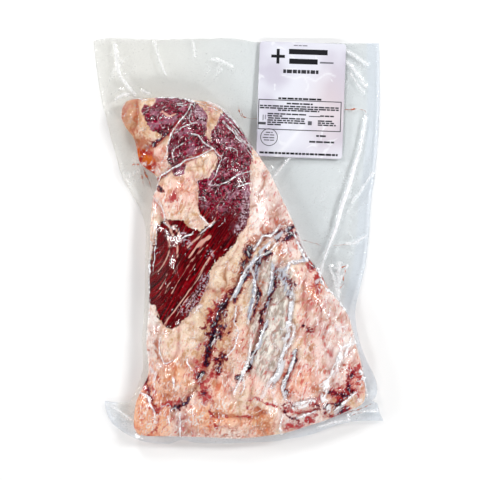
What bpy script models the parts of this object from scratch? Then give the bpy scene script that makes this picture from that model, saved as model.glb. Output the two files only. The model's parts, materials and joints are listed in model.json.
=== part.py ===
# A raw beef tri-tip sealed in a clear vacuum pouch, with a paper label.
# It lies flat on its back sheet: X is across the pouch, Y is up along it, Z is thickness.
# The film is skin tight, so the meat and its pouch are one solid with a thin free margin.

import math

import bmesh
import bpy
import numpy as np
from mathutils import Vector, noise
from mathutils.geometry import delaunay_2d_cdt

MM = 0.001

# Sizes in millimetres
FILM_THICK = 1.2
SEAM_HEIGHT = 8.0
MARGIN_REST = 1.1
MARGIN_FALL = 17.0
MARGIN_WAVE = 2.6
WAVE_LENGTH = 52.0
OVERHANG = 4.0
OVERHANG_RUN = 1.5
SIDE_INSET = 2.5
CROWN_RUN = 34.0
KEEL_RUN = 9.0
BODY_THICK = 23.0
FAT_LUMP = 1.5
FAT_LUMP_LENGTH = 19.0
LABEL_SIZE = (76.0, 101.5)
LABEL_CENTRE = (55.0, 123.6)
LABEL_TURN = math.radians(-2.0)
LABEL_THICK = 0.5
LABEL_CORNER = 3.0
TOUCH_GAP = 0.35

# Spacing of the faceted surface, in millimetres
SEAM_STEP = 4.3
MEAT_STEP = 3.9
MARGIN_STEP = 12.0
BASE_STEP = 28.0
SIDE_RINGS = (0.8, 1.9, 3.8)
KEEL_RINGS = (1.2, 4.0, 9.0)
LABEL_CELLS = (7, 9)
SHOULDER = 1.25

# The widest outline of the meat, clockwise from the fat knob at the narrow end
MEAT_OUTLINE = (
    (-101, 119), (-95, 123.5), (-78, 125), (-64, 126), (-51, 125), (-38, 123), (-23, 121),
    (-13, 115), (-6, 108), (1, 99), (10, 86), (21, 70), (29, 57), (37, 40), (46, 21), (54, 2),
    (61, -14), (70, -26), (80, -43), (91, -57), (98, -70), (102, -87), (107, -104), (110, -120),
    (111.5, -134), (108, -144), (93, -151), (76, -158), (58, -164), (41, -169), (21, -172),
    (0, -174), (-25, -173), (-55, -172), (-82, -171.5), (-90, -168), (-92, -158), (-90, -142),
    (-84, -128), (-79, -114), (-81, -88), (-79, -60), (-78, -10), (-77, 20), (-75, 38), (-71, 49),
    (-73, 57), (-80, 62), (-87, 69), (-90, 83), (-93, 91), (-99, 99), (-103, 109),
)

# The cut and sealed edges of the pouch, clockwise; each is smooth and they meet in corners
POUCH_EDGES = {
    "top": ((-128, 176), (-111, 178.5), (-78, 177), (-34, 178), (-7, 178.5), (17, 175), (54, 174),
            (89, 174), (124, 174)),
    "right": ((124, 174), (124.5, 125), (123, 90), (120, 57), (117, 36), (115, 5), (112, -21),
              (106.5, -44), (103, -60), (103.5, -74), (106, -87), (110, -99), (114, -108),
              (119, -118), (122, -128), (121, -137), (117, -141)),
    "right ear": ((117, -141), (122, -143.5), (124.5, -152), (128, -159)),
    "bottom": ((128, -159), (107, -159), (89, -162), (63, -171), (45, -174.5), (28, -177),
               (-7, -178.5), (-36, -178), (-50, -175.5), (-63, -179), (-86, -176), (-108, -164),
               (-116, -152), (-118, -141)),
    "left ear": ((-118, -141), (-108, -142.5), (-96, -142.5)),
    "left": ((-96, -142.5), (-90.5, -132), (-86, -120), (-84, -108), (-85, -87), (-83, -60),
             (-82, -10), (-82, 12), (-87, 28), (-93, 39), (-100, 51), (-104, 60), (-108, 75),
             (-113, 93), (-117, 110), (-121, 125), (-126, 158), (-128, 176)),
}

# Broad swells of the muscle: centre, radii, rise
SWELLS = {
    "thick middle": ((-8, -28), (62, 82), 16.0),
    "narrow end": ((-46, 88), (44, 40), 9.5),
    "lean spoon": ((-28, 10), (46, 70), 3.0),
    "lower left": ((-45, -125), (46, 40), 6.5),
    "lower right": ((62, -112), (46, 46), 2.5),
}

# Rounded lobes of fat and lean: centre, radii, turn in degrees, rise
LOBES = {
    "fat knob": ((-95, 111), (9, 14), 10, 5.0),
    "inner knob": ((-81, 100), (9, 17), 0, 3.5),
    "upper lean": ((-62, 112), (17, 12), 15, 4.0),
    "rolled lean": ((-42, 93), (17, 25), -20, 5.0),
    "fat streak": ((-21, 110), (8, 14), 0, 2.0),
    "folded fat": ((-67, 70), (9, 15), 20, 3.0),
    "spoon top": ((-4, 62), (22, 34), 5, 3.5),
    "spoon foot": ((-47, -38), (24, 34), -30, 3.5),
    "middle fat": ((-47, 43), (20, 17), 25, 3.5),
    "left strip": ((-73, -86), (6, 26), 0, 2.0),
    "tongue": ((-61, -90), (8, 17), 0, 2.6),
    "seam bank": ((-8, -84), (9, 19), -25, 2.6),
    "seam bank foot": ((-37, -105), (8, 10), 0, 2.2),
    "lower pillow": ((-62, -122), (14, 9), 15, 2.8),
    "corner pillow": ((-76, -155), (13, 14), 0, 3.0),
    "hem pillow": ((-2, -162), (22, 8), 5, 2.4),
    "hem fold": ((-34, -146), (9, 17), 15, 2.2),
    "brown fold": ((21, -146), (9, 20), 10, 2.2),
    "right pillow": ((78, -60), (15, 30), 25, 2.8),
    "right foot": ((88, -124), (17, 19), 10, 2.6),
    "right hem": ((62, -144), (17, 12), -15, 2.4),
    "fat ledge": ((52, -30), (9, 22), 25, 1.6),
    "middle ledge": ((24, -103), (8, 26), -14, 2.2),
}

# Creases between the lobes: half width, depth, points along the crease
CREASES = {
    "blood seam": (4.2, 4.2, ((40, 14), (22, 2), (10, -6), (5, -22), (-5, -45), (-16, -63),
                              (-22, -82), (-27, -101), (-31, -117), (-41, -131), (-56, -148))),
    "first crevice": (3.4, 2.8, ((22, -14), (14, -29), (18, -46), (12, -71))),
    "second crevice": (3.2, 3.0, ((34, -22), (29, -41), (24, -56), (19, -73), (8, -114))),
    "third crevice": (3.4, 3.2, ((46, -52), (44, -66), (46, -81), (37, -105), (29, -126))),
    "fourth crevice": (3.0, 2.6, ((51, -97), (48, -110), (40, -126), (43, -137))),
    "upper crevice": (3.6, 5.0, ((-52, 103), (-60, 93), (-69, 86), (-79, 80))),
    "liquid pocket": (6.0, 4.5, ((-86, 88), (-84, 76), (-76, 66))),
    "knob crease": (3.0, 3.0, ((-89, 118), (-88, 106), (-92, 92))),
    "roll crease": (3.4, 4.2, ((-76, 39), (-65, 56), (-49, 68), (-22, 79), (-14, 74))),
    "middle crease": (2.8, 2.4, ((-74, 38), (-68, 30), (-64, 16), (-56, 10))),
    "streak crease": (2.6, 2.4, ((-30, 119), (-27, 104), (-22, 82))),
    "spoon shore": (2.8, 1.8, ((10, 68), (10, 35), (0, 6), (-15, -16), (-26, -32), (-32, -52),
                               (-50, -72), (-66, -74))),
    "spoon bank": (2.6, 1.8, ((-31, 55), (-34, 34), (-27, 16), (-42, 12), (-66, 17))),
    "tongue rim": (2.6, 2.0, ((-70, -74), (-70, -97), (-62, -108), (-53, -97), (-52, -76))),
    "left crease": (2.6, 1.8, ((-78, -128), (-76, -140), (-68, -149))),
    "hem crease": (2.6, 2.2, ((-21, -151), (10, -155), (20, -150))),
    "ledge crease": (2.4, 1.8, ((37, -20), (48, -19), (61, -22))),
    "right crease": (3.2, 2.4, ((98, -95), (86, -112), (77, -132), (54, -143), (38, -149))),
    "right hem crease": (2.6, 1.8, ((104, -130), (84, -137), (74, -152))),
}


def distances(points, path, closed):
    """Distance of each point to a path, and the nearest place on it."""
    starts = path if closed else path[:-1]
    ends = np.roll(path, -1, axis=0) if closed else path[1:]
    run = ends - starts
    along = np.einsum("psk,sk->ps", points[:, None] - starts, run) / (run**2).sum(axis=1)
    nearest = starts + np.clip(along, 0, 1)[..., None] * run
    gaps = np.linalg.norm(points[:, None] - nearest, axis=2)
    best = gaps.argmin(axis=1)
    rows = np.arange(len(points))
    return gaps[rows, best], nearest[rows, best]


def inside(points, loop):
    """Which points lie within a closed loop."""
    x, y = points[:, :1], points[:, 1:]
    ends = np.roll(loop, -1, axis=0)
    spans = (loop[:, 1] > y) != (ends[:, 1] > y)
    rise = ends[:, 1] - loop[:, 1]
    rise = np.where(rise == 0, 1, rise)
    crossing = loop[:, 0] + (y - loop[:, 1]) / rise * (ends[:, 0] - loop[:, 0])
    return (spans & (x < crossing)).sum(axis=1) % 2 == 1


def smooth_path(points, step, closed=False):
    """A Catmull-Rom curve through the points, with its own points one step apart."""
    points = np.array(points, float)
    if closed:
        points = np.vstack([points[-1:], points, points[:2]])
    else:
        points = np.vstack([2 * points[0] - points[1], points, 2 * points[-1] - points[-2]])
    fine = []
    for before, start, end, after in zip(points, points[1:], points[2:], points[3:]):
        t = np.linspace(0, 1, 24, endpoint=False)[:, None]
        bend = 2 * before - 5 * start + 4 * end - after
        twist = 3 * start - before - 3 * end + after
        fine.append((2 * start + (end - before) * t + bend * t**2 + twist * t**3) / 2)
    fine = np.vstack(fine + [points[-2:-1]])
    length = np.append(0, np.cumsum(np.linalg.norm(np.diff(fine, axis=0), axis=1)))
    places = np.linspace(0, length[-1], max(2, round(length[-1] / step)) + 1)
    even = np.column_stack([np.interp(places, length, fine[:, k]) for k in (0, 1)])
    return even[:-1] if closed else even


def inset_loop(loop, distance):
    """A clockwise loop moved inwards by a distance."""
    ahead = np.roll(loop, -1, axis=0) - np.roll(loop, 1, axis=0)
    inward = np.column_stack([ahead[:, 1], -ahead[:, 0]])
    return loop + distance * inward / np.linalg.norm(inward, axis=1, keepdims=True)


def triangular_grid(step, low, high):
    """Points of a grid of even triangles over a box."""
    rows = np.arange(low[1], high[1], step * math.sqrt(3) / 2)
    columns = np.arange(low[0], high[0], step)
    return np.vstack(
        [np.column_stack([columns + (k % 2) * step / 2, np.full(len(columns), y)])
         for k, y in enumerate(rows)]
    )


def lumps(points, length, seed):
    """Even rolling noise from -1 to 1."""
    return np.array([noise.noise(Vector((x / length, y / length, seed))) for x, y in points])


def bump(points, centre, radii, turn=0.0):
    """A round swell of height 1 at its centre."""
    across = points - centre
    cos, sin = math.cos(math.radians(turn)), math.sin(math.radians(turn))
    u = (across[:, 0] * cos + across[:, 1] * sin) / radii[0]
    v = (across[:, 1] * cos - across[:, 0] * sin) / radii[1]
    return np.exp(-(u**2 + v**2))


meat_loop = smooth_path(MEAT_OUTLINE, SEAM_STEP, closed=True)
seam_loop = inset_loop(meat_loop, SIDE_INSET)
pouch_loop = np.vstack([smooth_path(edge, MARGIN_STEP / 2)[:-1] for edge in POUCH_EDGES.values()])
crease_paths = {name: smooth_path(row[2], MEAT_STEP * 0.9) for name, row in CREASES.items()}
middle = (pouch_loop.min(axis=0) + pouch_loop.max(axis=0)) / 2


def margin_height(points):
    """Middle height of the free film: at the seam by the meat, down to rest further out."""
    gap, _ = distances(points, seam_loop, True)
    fall = np.exp(-gap / MARGIN_FALL)
    wave = MARGIN_WAVE * 0.5 * (1 + lumps(points, WAVE_LENGTH, 3.0)) * (1 - fall)
    return MARGIN_REST + (SEAM_HEIGHT - MARGIN_REST) * fall + wave


def crown_height(points, depth):
    """Height of the meat's upper face; depth is the distance in from the seam."""
    thick = BODY_THICK + sum(
        rise * bump(points, centre, radii) for centre, radii, rise in SWELLS.values()
    )
    relief = sum(
        rise * bump(points, centre, radii, turn) for centre, radii, turn, rise in LOBES.values()
    )
    relief = relief + FAT_LUMP * lumps(points, FAT_LUMP_LENGTH, 7.0)
    for name, (half_width, drop, _) in CREASES.items():
        gap, _ = distances(points, crease_paths[name], False)
        relief = relief - drop * np.exp(-((gap / half_width) ** 2))
    run = np.clip(depth / CROWN_RUN, 0, 1)
    shoulder = np.sqrt(1 - (1 - run) ** 2)
    ease = np.clip(depth / 7.0, 0, 1)
    return SEAM_HEIGHT + (thick - SEAM_HEIGHT) * shoulder + relief * ease


def keel_height(depth):
    """Height of the meat's lower face, rounded up to the seam at its edge."""
    run = np.clip(depth / KEEL_RUN, 0, 1)
    return (SEAM_HEIGHT - FILM_THICK / 2) * (1 - np.sqrt(1 - (1 - run) ** 2))


def side_rings(offsets):
    """Loops in from the seam, one for each offset."""
    return [inset_loop(seam_loop, offset) for offset in offsets]


def sheet_points(offsets, step):
    """Plan points of one face of the pack: edge, margin, seam, rings and the meat's own grid."""
    low, high = pouch_loop.min(axis=0), pouch_loop.max(axis=0)
    margin = triangular_grid(MARGIN_STEP, low, high)
    gap, _ = distances(margin, pouch_loop, True)
    reach, _ = distances(margin, seam_loop, True)
    clear = (gap > MARGIN_STEP * 0.45) & (reach > MARGIN_STEP * 0.55)
    margin = margin[inside(margin, pouch_loop) & ~inside(margin, seam_loop) & clear]
    paper = label_points()
    gap, _ = distances(paper, seam_loop, True)
    paper = paper[~inside(paper, seam_loop) & (gap > 2.0)]
    spread = np.linalg.norm(margin[:, None] - paper[None], axis=2).min(axis=1)
    margin = margin[spread > MARGIN_STEP * 0.5]
    grid = triangular_grid(step, low, high)
    gap, _ = distances(grid, seam_loop, True)
    grid = grid[inside(grid, seam_loop) & (gap > offsets[-1] + step * 0.6)]
    return margin, paper, grid


def label_points():
    """Plan points of the label's own grid."""
    u = np.linspace(-0.5, 0.5, LABEL_CELLS[0] + 1) * LABEL_SIZE[0]
    v = np.linspace(-0.5, 0.5, LABEL_CELLS[1] + 1) * LABEL_SIZE[1]
    flat = np.array([(x, y) for y in v for x in u])
    cos, sin = math.cos(LABEL_TURN), math.sin(LABEL_TURN)
    return flat @ np.array([[cos, sin], [-sin, cos]]) + LABEL_CENTRE


def triangulate(rings, loose):
    """Triangles inside the first ring, with an edge along every ring."""
    points = [Vector(p) for p in np.vstack(rings + loose)]
    edges = []
    start = 0
    for ring in rings:
        count = len(ring)
        edges += [(start + k, start + (k + 1) % count) for k in range(count)]
        start += count
    outline = list(range(len(rings[0])))[::-1]
    verts, _, faces, *_ = delaunay_2d_cdt(points, edges, [outline], 1, 1e-5)
    return np.array([tuple(v) for v in verts]), faces


def crease_rows():
    """Plan points along every crease: its bed first, then a shoulder on each side and its ends."""
    beds, shoulders = [], []
    for name, (half_width, _, _) in CREASES.items():
        path = crease_paths[name]
        ahead = np.gradient(path, axis=0)
        ahead /= np.linalg.norm(ahead, axis=1, keepdims=True)
        across = np.column_stack([ahead[:, 1], -ahead[:, 0]]) * half_width * SHOULDER
        tips = path[[0, -1]] + ahead[[0, -1]] * np.array([[-1], [1]]) * half_width * SHOULDER
        beds.append(path)
        shoulders += [path + across, path - across, tips]
    return np.vstack(beds + shoulders)


def spaced(points, gap):
    """The points in order, without any that lies closer than the gap to an earlier one."""
    kept = points[:1]
    for point in points[1:]:
        if np.linalg.norm(kept - point, axis=1).min() > gap:
            kept = np.vstack([kept, point])
    return kept


def upper_face():
    """Points and triangles of the pack's upper face."""
    margin, paper, grid = sheet_points(SIDE_RINGS, MEAT_STEP)
    creases = spaced(crease_rows(), MEAT_STEP * 0.62)
    gap, _ = distances(creases, seam_loop, True)
    creases = creases[inside(creases, seam_loop) & (gap > SIDE_RINGS[-1] + 2)]
    spread = np.linalg.norm(grid[:, None] - creases[None], axis=2).min(axis=1)
    grid = grid[spread > MEAT_STEP * 0.68]
    loose = side_rings(SIDE_RINGS) + [creases, margin, paper, grid]
    plan, faces = triangulate([pouch_loop, seam_loop], loose)
    depth, nearest = distances(plan, seam_loop, True)
    within = inside(plan, seam_loop) & (depth > 1e-3)
    height = np.where(within, crown_height(plan, depth), margin_height(plan) + FILM_THICK / 2)
    run = depth / OVERHANG_RUN
    lean_out = np.where(within, OVERHANG * run * np.exp(1 - run), 0)
    outward = (nearest - plan) / np.maximum(depth, 1e-6)[:, None]
    plan = plan + outward * lean_out[:, None]
    return np.column_stack([plan, height]), faces


def lower_face():
    """Points and triangles of the pack's lower face, flat where it rests."""
    margin, paper, grid = sheet_points(KEEL_RINGS, BASE_STEP)
    plan, faces = triangulate([pouch_loop, seam_loop], side_rings(KEEL_RINGS) + [margin, paper, grid])
    depth, _ = distances(plan, seam_loop, True)
    within = inside(plan, seam_loop) & (depth > 1e-3)
    height = np.where(within, keel_height(depth), margin_height(plan) - FILM_THICK / 2)
    return np.column_stack([plan, height]), faces


def material(name, colour, roughness, metallic=0.0):
    made = bpy.data.materials.new(name)
    made.use_nodes = True
    shader = made.node_tree.nodes["Principled BSDF"]
    shader.inputs["Base Color"].default_value = (*colour, 1)
    shader.inputs["Roughness"].default_value = roughness
    shader.inputs["Metallic"].default_value = metallic
    return made


def place(bm, name, finish, collection):
    """Puts the mesh in the scene, its plan centred on the pouch."""
    bmesh.ops.translate(bm, vec=(-middle[0], -middle[1], 0), verts=bm.verts)
    bmesh.ops.scale(bm, vec=(MM, MM, MM), verts=bm.verts)
    mesh = bpy.data.meshes.new(name)
    bm.to_mesh(mesh)
    bm.free()
    mesh.materials.append(finish)
    piece = bpy.data.objects.new(name, mesh)
    collection.objects.link(piece)
    return piece


def vacuum_pack(collection):
    """Meat and pouch: two faces that meet in a thin wall along the pouch's edge."""
    bm = bmesh.new()
    rims = []
    for (points, faces), flip in ((upper_face(), False), (lower_face(), True)):
        verts = [bm.verts.new(p) for p in points]
        for face in faces:
            corners = [verts[k] for k in face]
            bm.faces.new(corners[::-1] if flip else corners)
        plan = points[:, :2]
        rims.append([verts[np.hypot(*(plan - p).T).argmin()] for p in pouch_loop])
    top, base = rims
    for k in range(len(top)):
        bm.faces.new((top[k - 1], top[k], base[k], base[k - 1]))
    bmesh.ops.recalc_face_normals(bm, faces=bm.faces)
    finish = material("meat_in_film", (0.62, 0.27, 0.21), 0.25)
    return place(bm, "vacuum_packed_tri_tip", finish, collection)


def label(collection):
    """The paper label, a hair above the film and bent as the film under it."""
    bpy.ops.mesh.primitive_grid_add(x_subdivisions=LABEL_CELLS[0], y_subdivisions=LABEL_CELLS[1])
    grid = bpy.context.active_object
    bm = bmesh.new()
    bm.from_mesh(grid.data)
    bpy.data.objects.remove(grid)
    bm.verts.ensure_lookup_table()
    plan = label_points()
    gap, _ = distances(plan, seam_loop, True)
    height = margin_height(plan) + FILM_THICK / 2 + TOUCH_GAP
    for vert, (x, y), z in zip(bm.verts, plan, height):
        vert.co = (x, y, z)
    corners = [v for v in bm.verts if len(v.link_edges) == 2]
    bmesh.ops.bevel(
        bm, geom=corners, offset=LABEL_CORNER, segments=3, affect="VERTICES", profile=0.5
    )
    piece = place(bm, "label", material("label_paper", (0.88, 0.87, 0.91), 0.35), collection)
    sheet = piece.modifiers.new("paper", "SOLIDIFY")
    sheet.thickness = LABEL_THICK * MM
    sheet.offset = 1.0
    return piece


def main():
    for thing in list(bpy.data.objects):
        bpy.data.objects.remove(thing)
    collection = bpy.data.collections.new("raw_beef_tri_tip")
    bpy.context.scene.collection.children.link(collection)
    pack = vacuum_pack(collection)
    paper = label(collection)
    for piece in (pack, paper):
        print(piece.name, len(piece.data.polygons), "faces")


main()
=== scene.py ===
# A raw beef tri-tip in a clear vacuum pouch with a paper label, dressed for the camera.
# All shapes are drawn in millimetres, X across the pouch, Y up along it, Z its thickness.

import json
import math
import random

import bpy
import numpy as np
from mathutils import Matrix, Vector, noise
from mathutils.geometry import delaunay_2d_cdt

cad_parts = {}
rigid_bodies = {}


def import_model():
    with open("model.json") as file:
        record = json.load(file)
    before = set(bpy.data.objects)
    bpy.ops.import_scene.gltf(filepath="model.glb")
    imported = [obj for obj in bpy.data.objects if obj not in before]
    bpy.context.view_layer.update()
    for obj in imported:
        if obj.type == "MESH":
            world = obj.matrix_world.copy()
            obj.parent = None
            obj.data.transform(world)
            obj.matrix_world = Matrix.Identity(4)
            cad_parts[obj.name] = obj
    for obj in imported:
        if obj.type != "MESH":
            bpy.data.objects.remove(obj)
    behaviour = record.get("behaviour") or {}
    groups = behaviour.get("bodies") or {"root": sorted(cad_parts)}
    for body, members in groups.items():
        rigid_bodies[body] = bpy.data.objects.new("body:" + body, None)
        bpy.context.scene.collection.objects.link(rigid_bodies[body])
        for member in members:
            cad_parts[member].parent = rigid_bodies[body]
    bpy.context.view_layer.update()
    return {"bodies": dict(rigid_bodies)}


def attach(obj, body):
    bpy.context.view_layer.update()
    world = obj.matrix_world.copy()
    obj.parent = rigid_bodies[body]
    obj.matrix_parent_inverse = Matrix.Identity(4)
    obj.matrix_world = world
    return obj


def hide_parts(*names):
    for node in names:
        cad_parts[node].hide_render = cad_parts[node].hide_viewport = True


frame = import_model()
mm = 0.001
packCentre = np.array((0.0, -0.25))  # the drawing's own middle, which goes to the frame's origin
root = list(frame["bodies"])[0]
lightLevel = 1.05  # how bright a white card comes out on the table; tones are set against it
onLine = 1e-3      # in millimetres; a point nearer than this counts as on the seam

# Outlines


pouchEdges = {  # the cut and sealed edges, clockwise; each is smooth and they meet in corners
    "top": ((-128, 176), (-111, 178.5), (-78, 177), (-34, 178), (-7, 178.5), (17, 175), (54, 174),
        (89, 174), (124, 174)),
    "right": ((124, 174), (124.5, 125), (123, 90), (120, 57), (117, 36), (115, 5), (112, -21),
        (106.5, -44), (103, -60), (103.5, -74), (106, -87), (110, -99), (114, -108), (119, -118),
        (122, -128), (121, -137), (117, -141)),
    "right ear": ((117, -141), (122, -143.5), (124.5, -152), (128, -159)),
    "bottom": ((128, -159), (107, -159), (89, -162), (63, -171), (45, -174.5), (28, -177), (-7, -178.5),
        (-36, -178), (-50, -175.5), (-63, -179), (-86, -176), (-108, -164), (-116, -152), (-118, -141)),
    "left ear": ((-118, -141), (-108, -142.5), (-96, -142.5)),
    "left": ((-96, -142.5), (-90.5, -132), (-86, -120), (-84, -108), (-85, -87), (-83, -60), (-82, -10),
        (-82, 12), (-87, 28), (-93, 39), (-100, 51), (-104, 60), (-108, 75), (-113, 93), (-117, 110),
        (-121, 125), (-126, 158), (-128, 176)),
}
meatOutline = (  # the widest outline of the meat, clockwise from the fat knob at the narrow end
    (-101, 119), (-95, 123.5), (-78, 125), (-64, 126), (-51, 125), (-38, 123), (-23, 121),
    (-13, 115), (-6, 108), (1, 99), (10, 86), (21, 70), (29, 57), (37, 40), (46, 21), (54, 2),
    (61, -14), (70, -26), (80, -43), (91, -57), (98, -70), (102, -87), (107, -104), (110, -120),
    (111.5, -134), (108, -144), (93, -151), (76, -158), (58, -164), (41, -169), (21, -172),
    (0, -174), (-25, -173), (-55, -172), (-82, -171.5), (-90, -168), (-92, -158), (-90, -142),
    (-84, -128), (-79, -114), (-81, -88), (-79, -60), (-78, -10), (-77, 20), (-75, 38), (-71, 49),
    (-73, 57), (-80, 62), (-87, 69), (-90, 83), (-93, 91), (-99, 99), (-103, 109),
)
packShape = {
    "seamHeight": 8.0,     # height of the line where the upper and lower film meet the meat
    "sideInset": 2.5,      # from the widest outline in to that line
    "overhang": 4.0,       # how far the upper side bulges over it
    "overhangRun": 1.5,
    "extraRun": 6.0,       # how far in the film stands out more than the meat
    "bodyThick": 23.0,
    "crownRun": 34.0,      # how far in the upper side takes to reach its full height
    "settleRun": 7.0,      # how far in the lobes and creases take to reach their full size
    "keelRun": 9.0,        # how far in the underside takes to come down flat
    "marginRest": 1.1,     # height of the free film's middle, far from the meat
    "marginFall": 17.0,
    "marginWave": 2.6,
    "waveLength": 52.0,
    "fatLump": 1.5,
    "fatLumpLength": 19.0,
}
swells = {  # broad swells of the muscle: centre, radii, rise
    "thick middle": ((-8, -28), (62, 82), 16),
    "narrow end": ((-46, 88), (44, 40), 9.5),
    "lean spoon": ((-28, 10), (46, 70), 3),
    "lower left": ((-45, -125), (46, 40), 6.5),
    "lower right": ((62, -112), (46, 46), 2.5),
}
lobes = {  # rounded lobes of fat and lean: centre, radii, turn in degrees, rise
    "fat knob": ((-95, 111), (9, 14), 10, 5),
    "inner knob": ((-81, 100), (9, 17), 0, 3.5),
    "upper lean": ((-62, 112), (17, 12), 15, 4),
    "rolled lean": ((-42, 93), (17, 25), -20, 5),
    "fat streak": ((-21, 110), (8, 14), 0, 2),
    "folded fat": ((-67, 70), (9, 15), 20, 3),
    "spoon top": ((-4, 62), (22, 34), 5, 3.5),
    "spoon foot": ((-47, -38), (24, 34), -30, 3.5),
    "middle fat": ((-47, 43), (20, 17), 25, 3.5),
    "left strip": ((-73, -86), (6, 26), 0, 2),
    "tongue": ((-61, -90), (8, 17), 0, 2.6),
    "seam bank": ((-8, -84), (9, 19), -25, 2.6),
    "seam bank foot": ((-37, -105), (8, 10), 0, 2.2),
    "lower pillow": ((-62, -122), (14, 9), 15, 2.8),
    "corner pillow": ((-76, -155), (13, 14), 0, 3),
    "hem pillow": ((-2, -162), (22, 8), 5, 2.4),
    "hem fold": ((-34, -146), (9, 17), 15, 2.2),
    "brown fold": ((21, -146), (9, 20), 10, 2.2),
    "right pillow": ((78, -60), (15, 30), 25, 2.8),
    "right foot": ((88, -124), (17, 19), 10, 2.6),
    "right hem": ((62, -144), (17, 12), -15, 2.4),
    "fat ledge": ((52, -30), (9, 22), 25, 1.6),
    "middle ledge": ((24, -103), (8, 26), -14, 2.2),
}
creases = {  # creases between the lobes: half width, depth, points along the crease
    "blood seam": (4.2, 4.2, ((40, 14), (22, 2), (10, -6), (5, -22), (-5, -45), (-16, -63), (-22, -82),
        (-27, -101), (-31, -117), (-41, -131), (-56, -148))),
    "first crevice": (3.4, 2.8, ((22, -14), (14, -29), (18, -46), (12, -71))),
    "second crevice": (3.2, 3, ((34, -22), (29, -41), (24, -56), (19, -73), (8, -114))),
    "third crevice": (3.4, 3.2, ((46, -52), (44, -66), (46, -81), (37, -105), (29, -126))),
    "fourth crevice": (3, 2.6, ((51, -97), (48, -110), (40, -126), (43, -137))),
    "upper crevice": (3.6, 5, ((-52, 103), (-60, 93), (-69, 86), (-79, 80))),
    "liquid pocket": (6, 4.5, ((-86, 88), (-84, 76), (-76, 66))),
    "knob crease": (3, 3, ((-89, 118), (-88, 106), (-92, 92))),
    "roll crease": (3.4, 4.2, ((-76, 39), (-65, 56), (-49, 68), (-22, 79), (-14, 74))),
    "middle crease": (2.8, 2.4, ((-74, 38), (-68, 30), (-64, 16), (-56, 10))),
    "streak crease": (2.6, 2.4, ((-30, 119), (-27, 104), (-22, 82))),
    "spoon shore": (2.8, 1.8, ((10, 68), (10, 35), (0, 6), (-15, -16), (-26, -32), (-32, -52),
        (-50, -72), (-66, -74))),
    "spoon bank": (2.6, 1.8, ((-31, 55), (-34, 34), (-27, 16), (-42, 12), (-66, 17))),
    "tongue rim": (2.6, 2, ((-70, -74), (-70, -97), (-62, -108), (-53, -97), (-52, -76))),
    "left crease": (2.6, 1.8, ((-78, -128), (-76, -140), (-68, -149))),
    "hem crease": (2.6, 2.2, ((-21, -151), (10, -155), (20, -150))),
    "ledge crease": (2.4, 1.8, ((37, -20), (48, -19), (61, -22))),
    "right crease": (3.2, 2.4, ((98, -95), (86, -112), (77, -132), (54, -143), (38, -149))),
    "right hem crease": (2.6, 1.8, ((104, -130), (84, -137), (74, -152))),
}

# Drawing tools


def smoothPath(points, step, closed=False):
    # a Catmull-Rom curve through the points, with its own points one step apart
    points = np.array(points, float)
    if len(points) == 1:
        return points
    if closed:
        points = np.vstack([points[-1:], points, points[:2]])
    else:
        points = np.vstack([2 * points[0] - points[1], points, 2 * points[-1] - points[-2]])
    fine = []
    for before, start, end, after in zip(points, points[1:], points[2:], points[3:]):
        t = np.linspace(0, 1, 24, endpoint=False)[:, None]
        bend = 2 * before - 5 * start + 4 * end - after
        twist = 3 * start - before - 3 * end + after
        fine.append((2 * start + (end - before) * t + bend * t**2 + twist * t**3) / 2)
    fine = np.vstack(fine + [points[-2:-1]])
    length = np.append(0, np.cumsum(np.linalg.norm(np.diff(fine, axis=0), axis=1)))
    places = np.linspace(0, length[-1], max(2, round(length[-1] / step)) + 1)
    even = np.column_stack([np.interp(places, length, fine[:, k]) for k in (0, 1)])
    return even[:-1] if closed else even


def insetLoop(loop, distance):
    ahead = np.roll(loop, -1, axis=0) - np.roll(loop, 1, axis=0)
    inward = np.column_stack([ahead[:, 1], -ahead[:, 0]])
    return loop + distance * inward / np.linalg.norm(inward, axis=1, keepdims=True)


def pathGap(points, path, reach, closed=False, nearest=False):
    # distance of each point to a path, a few segments at a time and only within reach
    gaps = np.full(len(points), float(reach))
    places = points.copy()
    starts = path if closed or len(path) == 1 else path[:-1]
    ends = np.roll(path, -1, axis=0) if closed or len(path) == 1 else path[1:]
    x, y = points.T
    for first in range(0, len(starts), 6):
        start, end = starts[first:first + 6], ends[first:first + 6]
        low = np.minimum(start, end).min(axis=0) - reach
        high = np.maximum(start, end).max(axis=0) + reach
        rows = np.flatnonzero((x > low[0]) & (x < high[0]) & (y > low[1]) & (y < high[1]))
        run = end - start
        square = np.maximum((run**2).sum(axis=1), 1e-9)
        away = points[rows][:, None] - start
        along = np.clip((away * run).sum(axis=2) / square, 0, 1)
        rest = away - along[..., None] * run
        gap = np.sqrt((rest**2).sum(axis=2))
        best = gap.argmin(axis=1)
        line = np.arange(len(rows))
        closer = gap[line, best] < gaps[rows]
        near = rows[closer]
        gaps[near] = gap[line, best][closer]
        places[near] = points[near] - rest[line, best][closer]
    return (gaps, places) if nearest else gaps


def insideLoop(points, loop):
    # each edge flips the points to its left, taken in order of height
    order = np.argsort(points[:, 1], kind="stable")
    x, y = points[order].T
    flips = np.zeros(len(points), bool)
    for (ax, ay), (bx, by) in zip(loop, np.roll(loop, -1, axis=0)):
        first, last = np.searchsorted(y, (min(ay, by), max(ay, by)))
        if last > first:
            crossing = ax + (y[first:last] - ay) / (by - ay) * (bx - ax)
            flips[first:last] ^= x[first:last] < crossing
    within = np.empty(len(points), bool)
    within[order] = flips
    return within


def seamGap(points, loop):
    # distance to the seam: fine where the shoulder curves, from fewer points further off
    nearReach, farReach, skip = 36.0, 120.0, 4
    gaps, places = pathGap(points, loop, nearReach, closed=True, nearest=True)
    far = np.flatnonzero(gaps >= nearReach)
    gaps[far], places[far] = pathGap(points[far], loop[::skip], farReach, closed=True, nearest=True)
    return gaps, places


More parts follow.
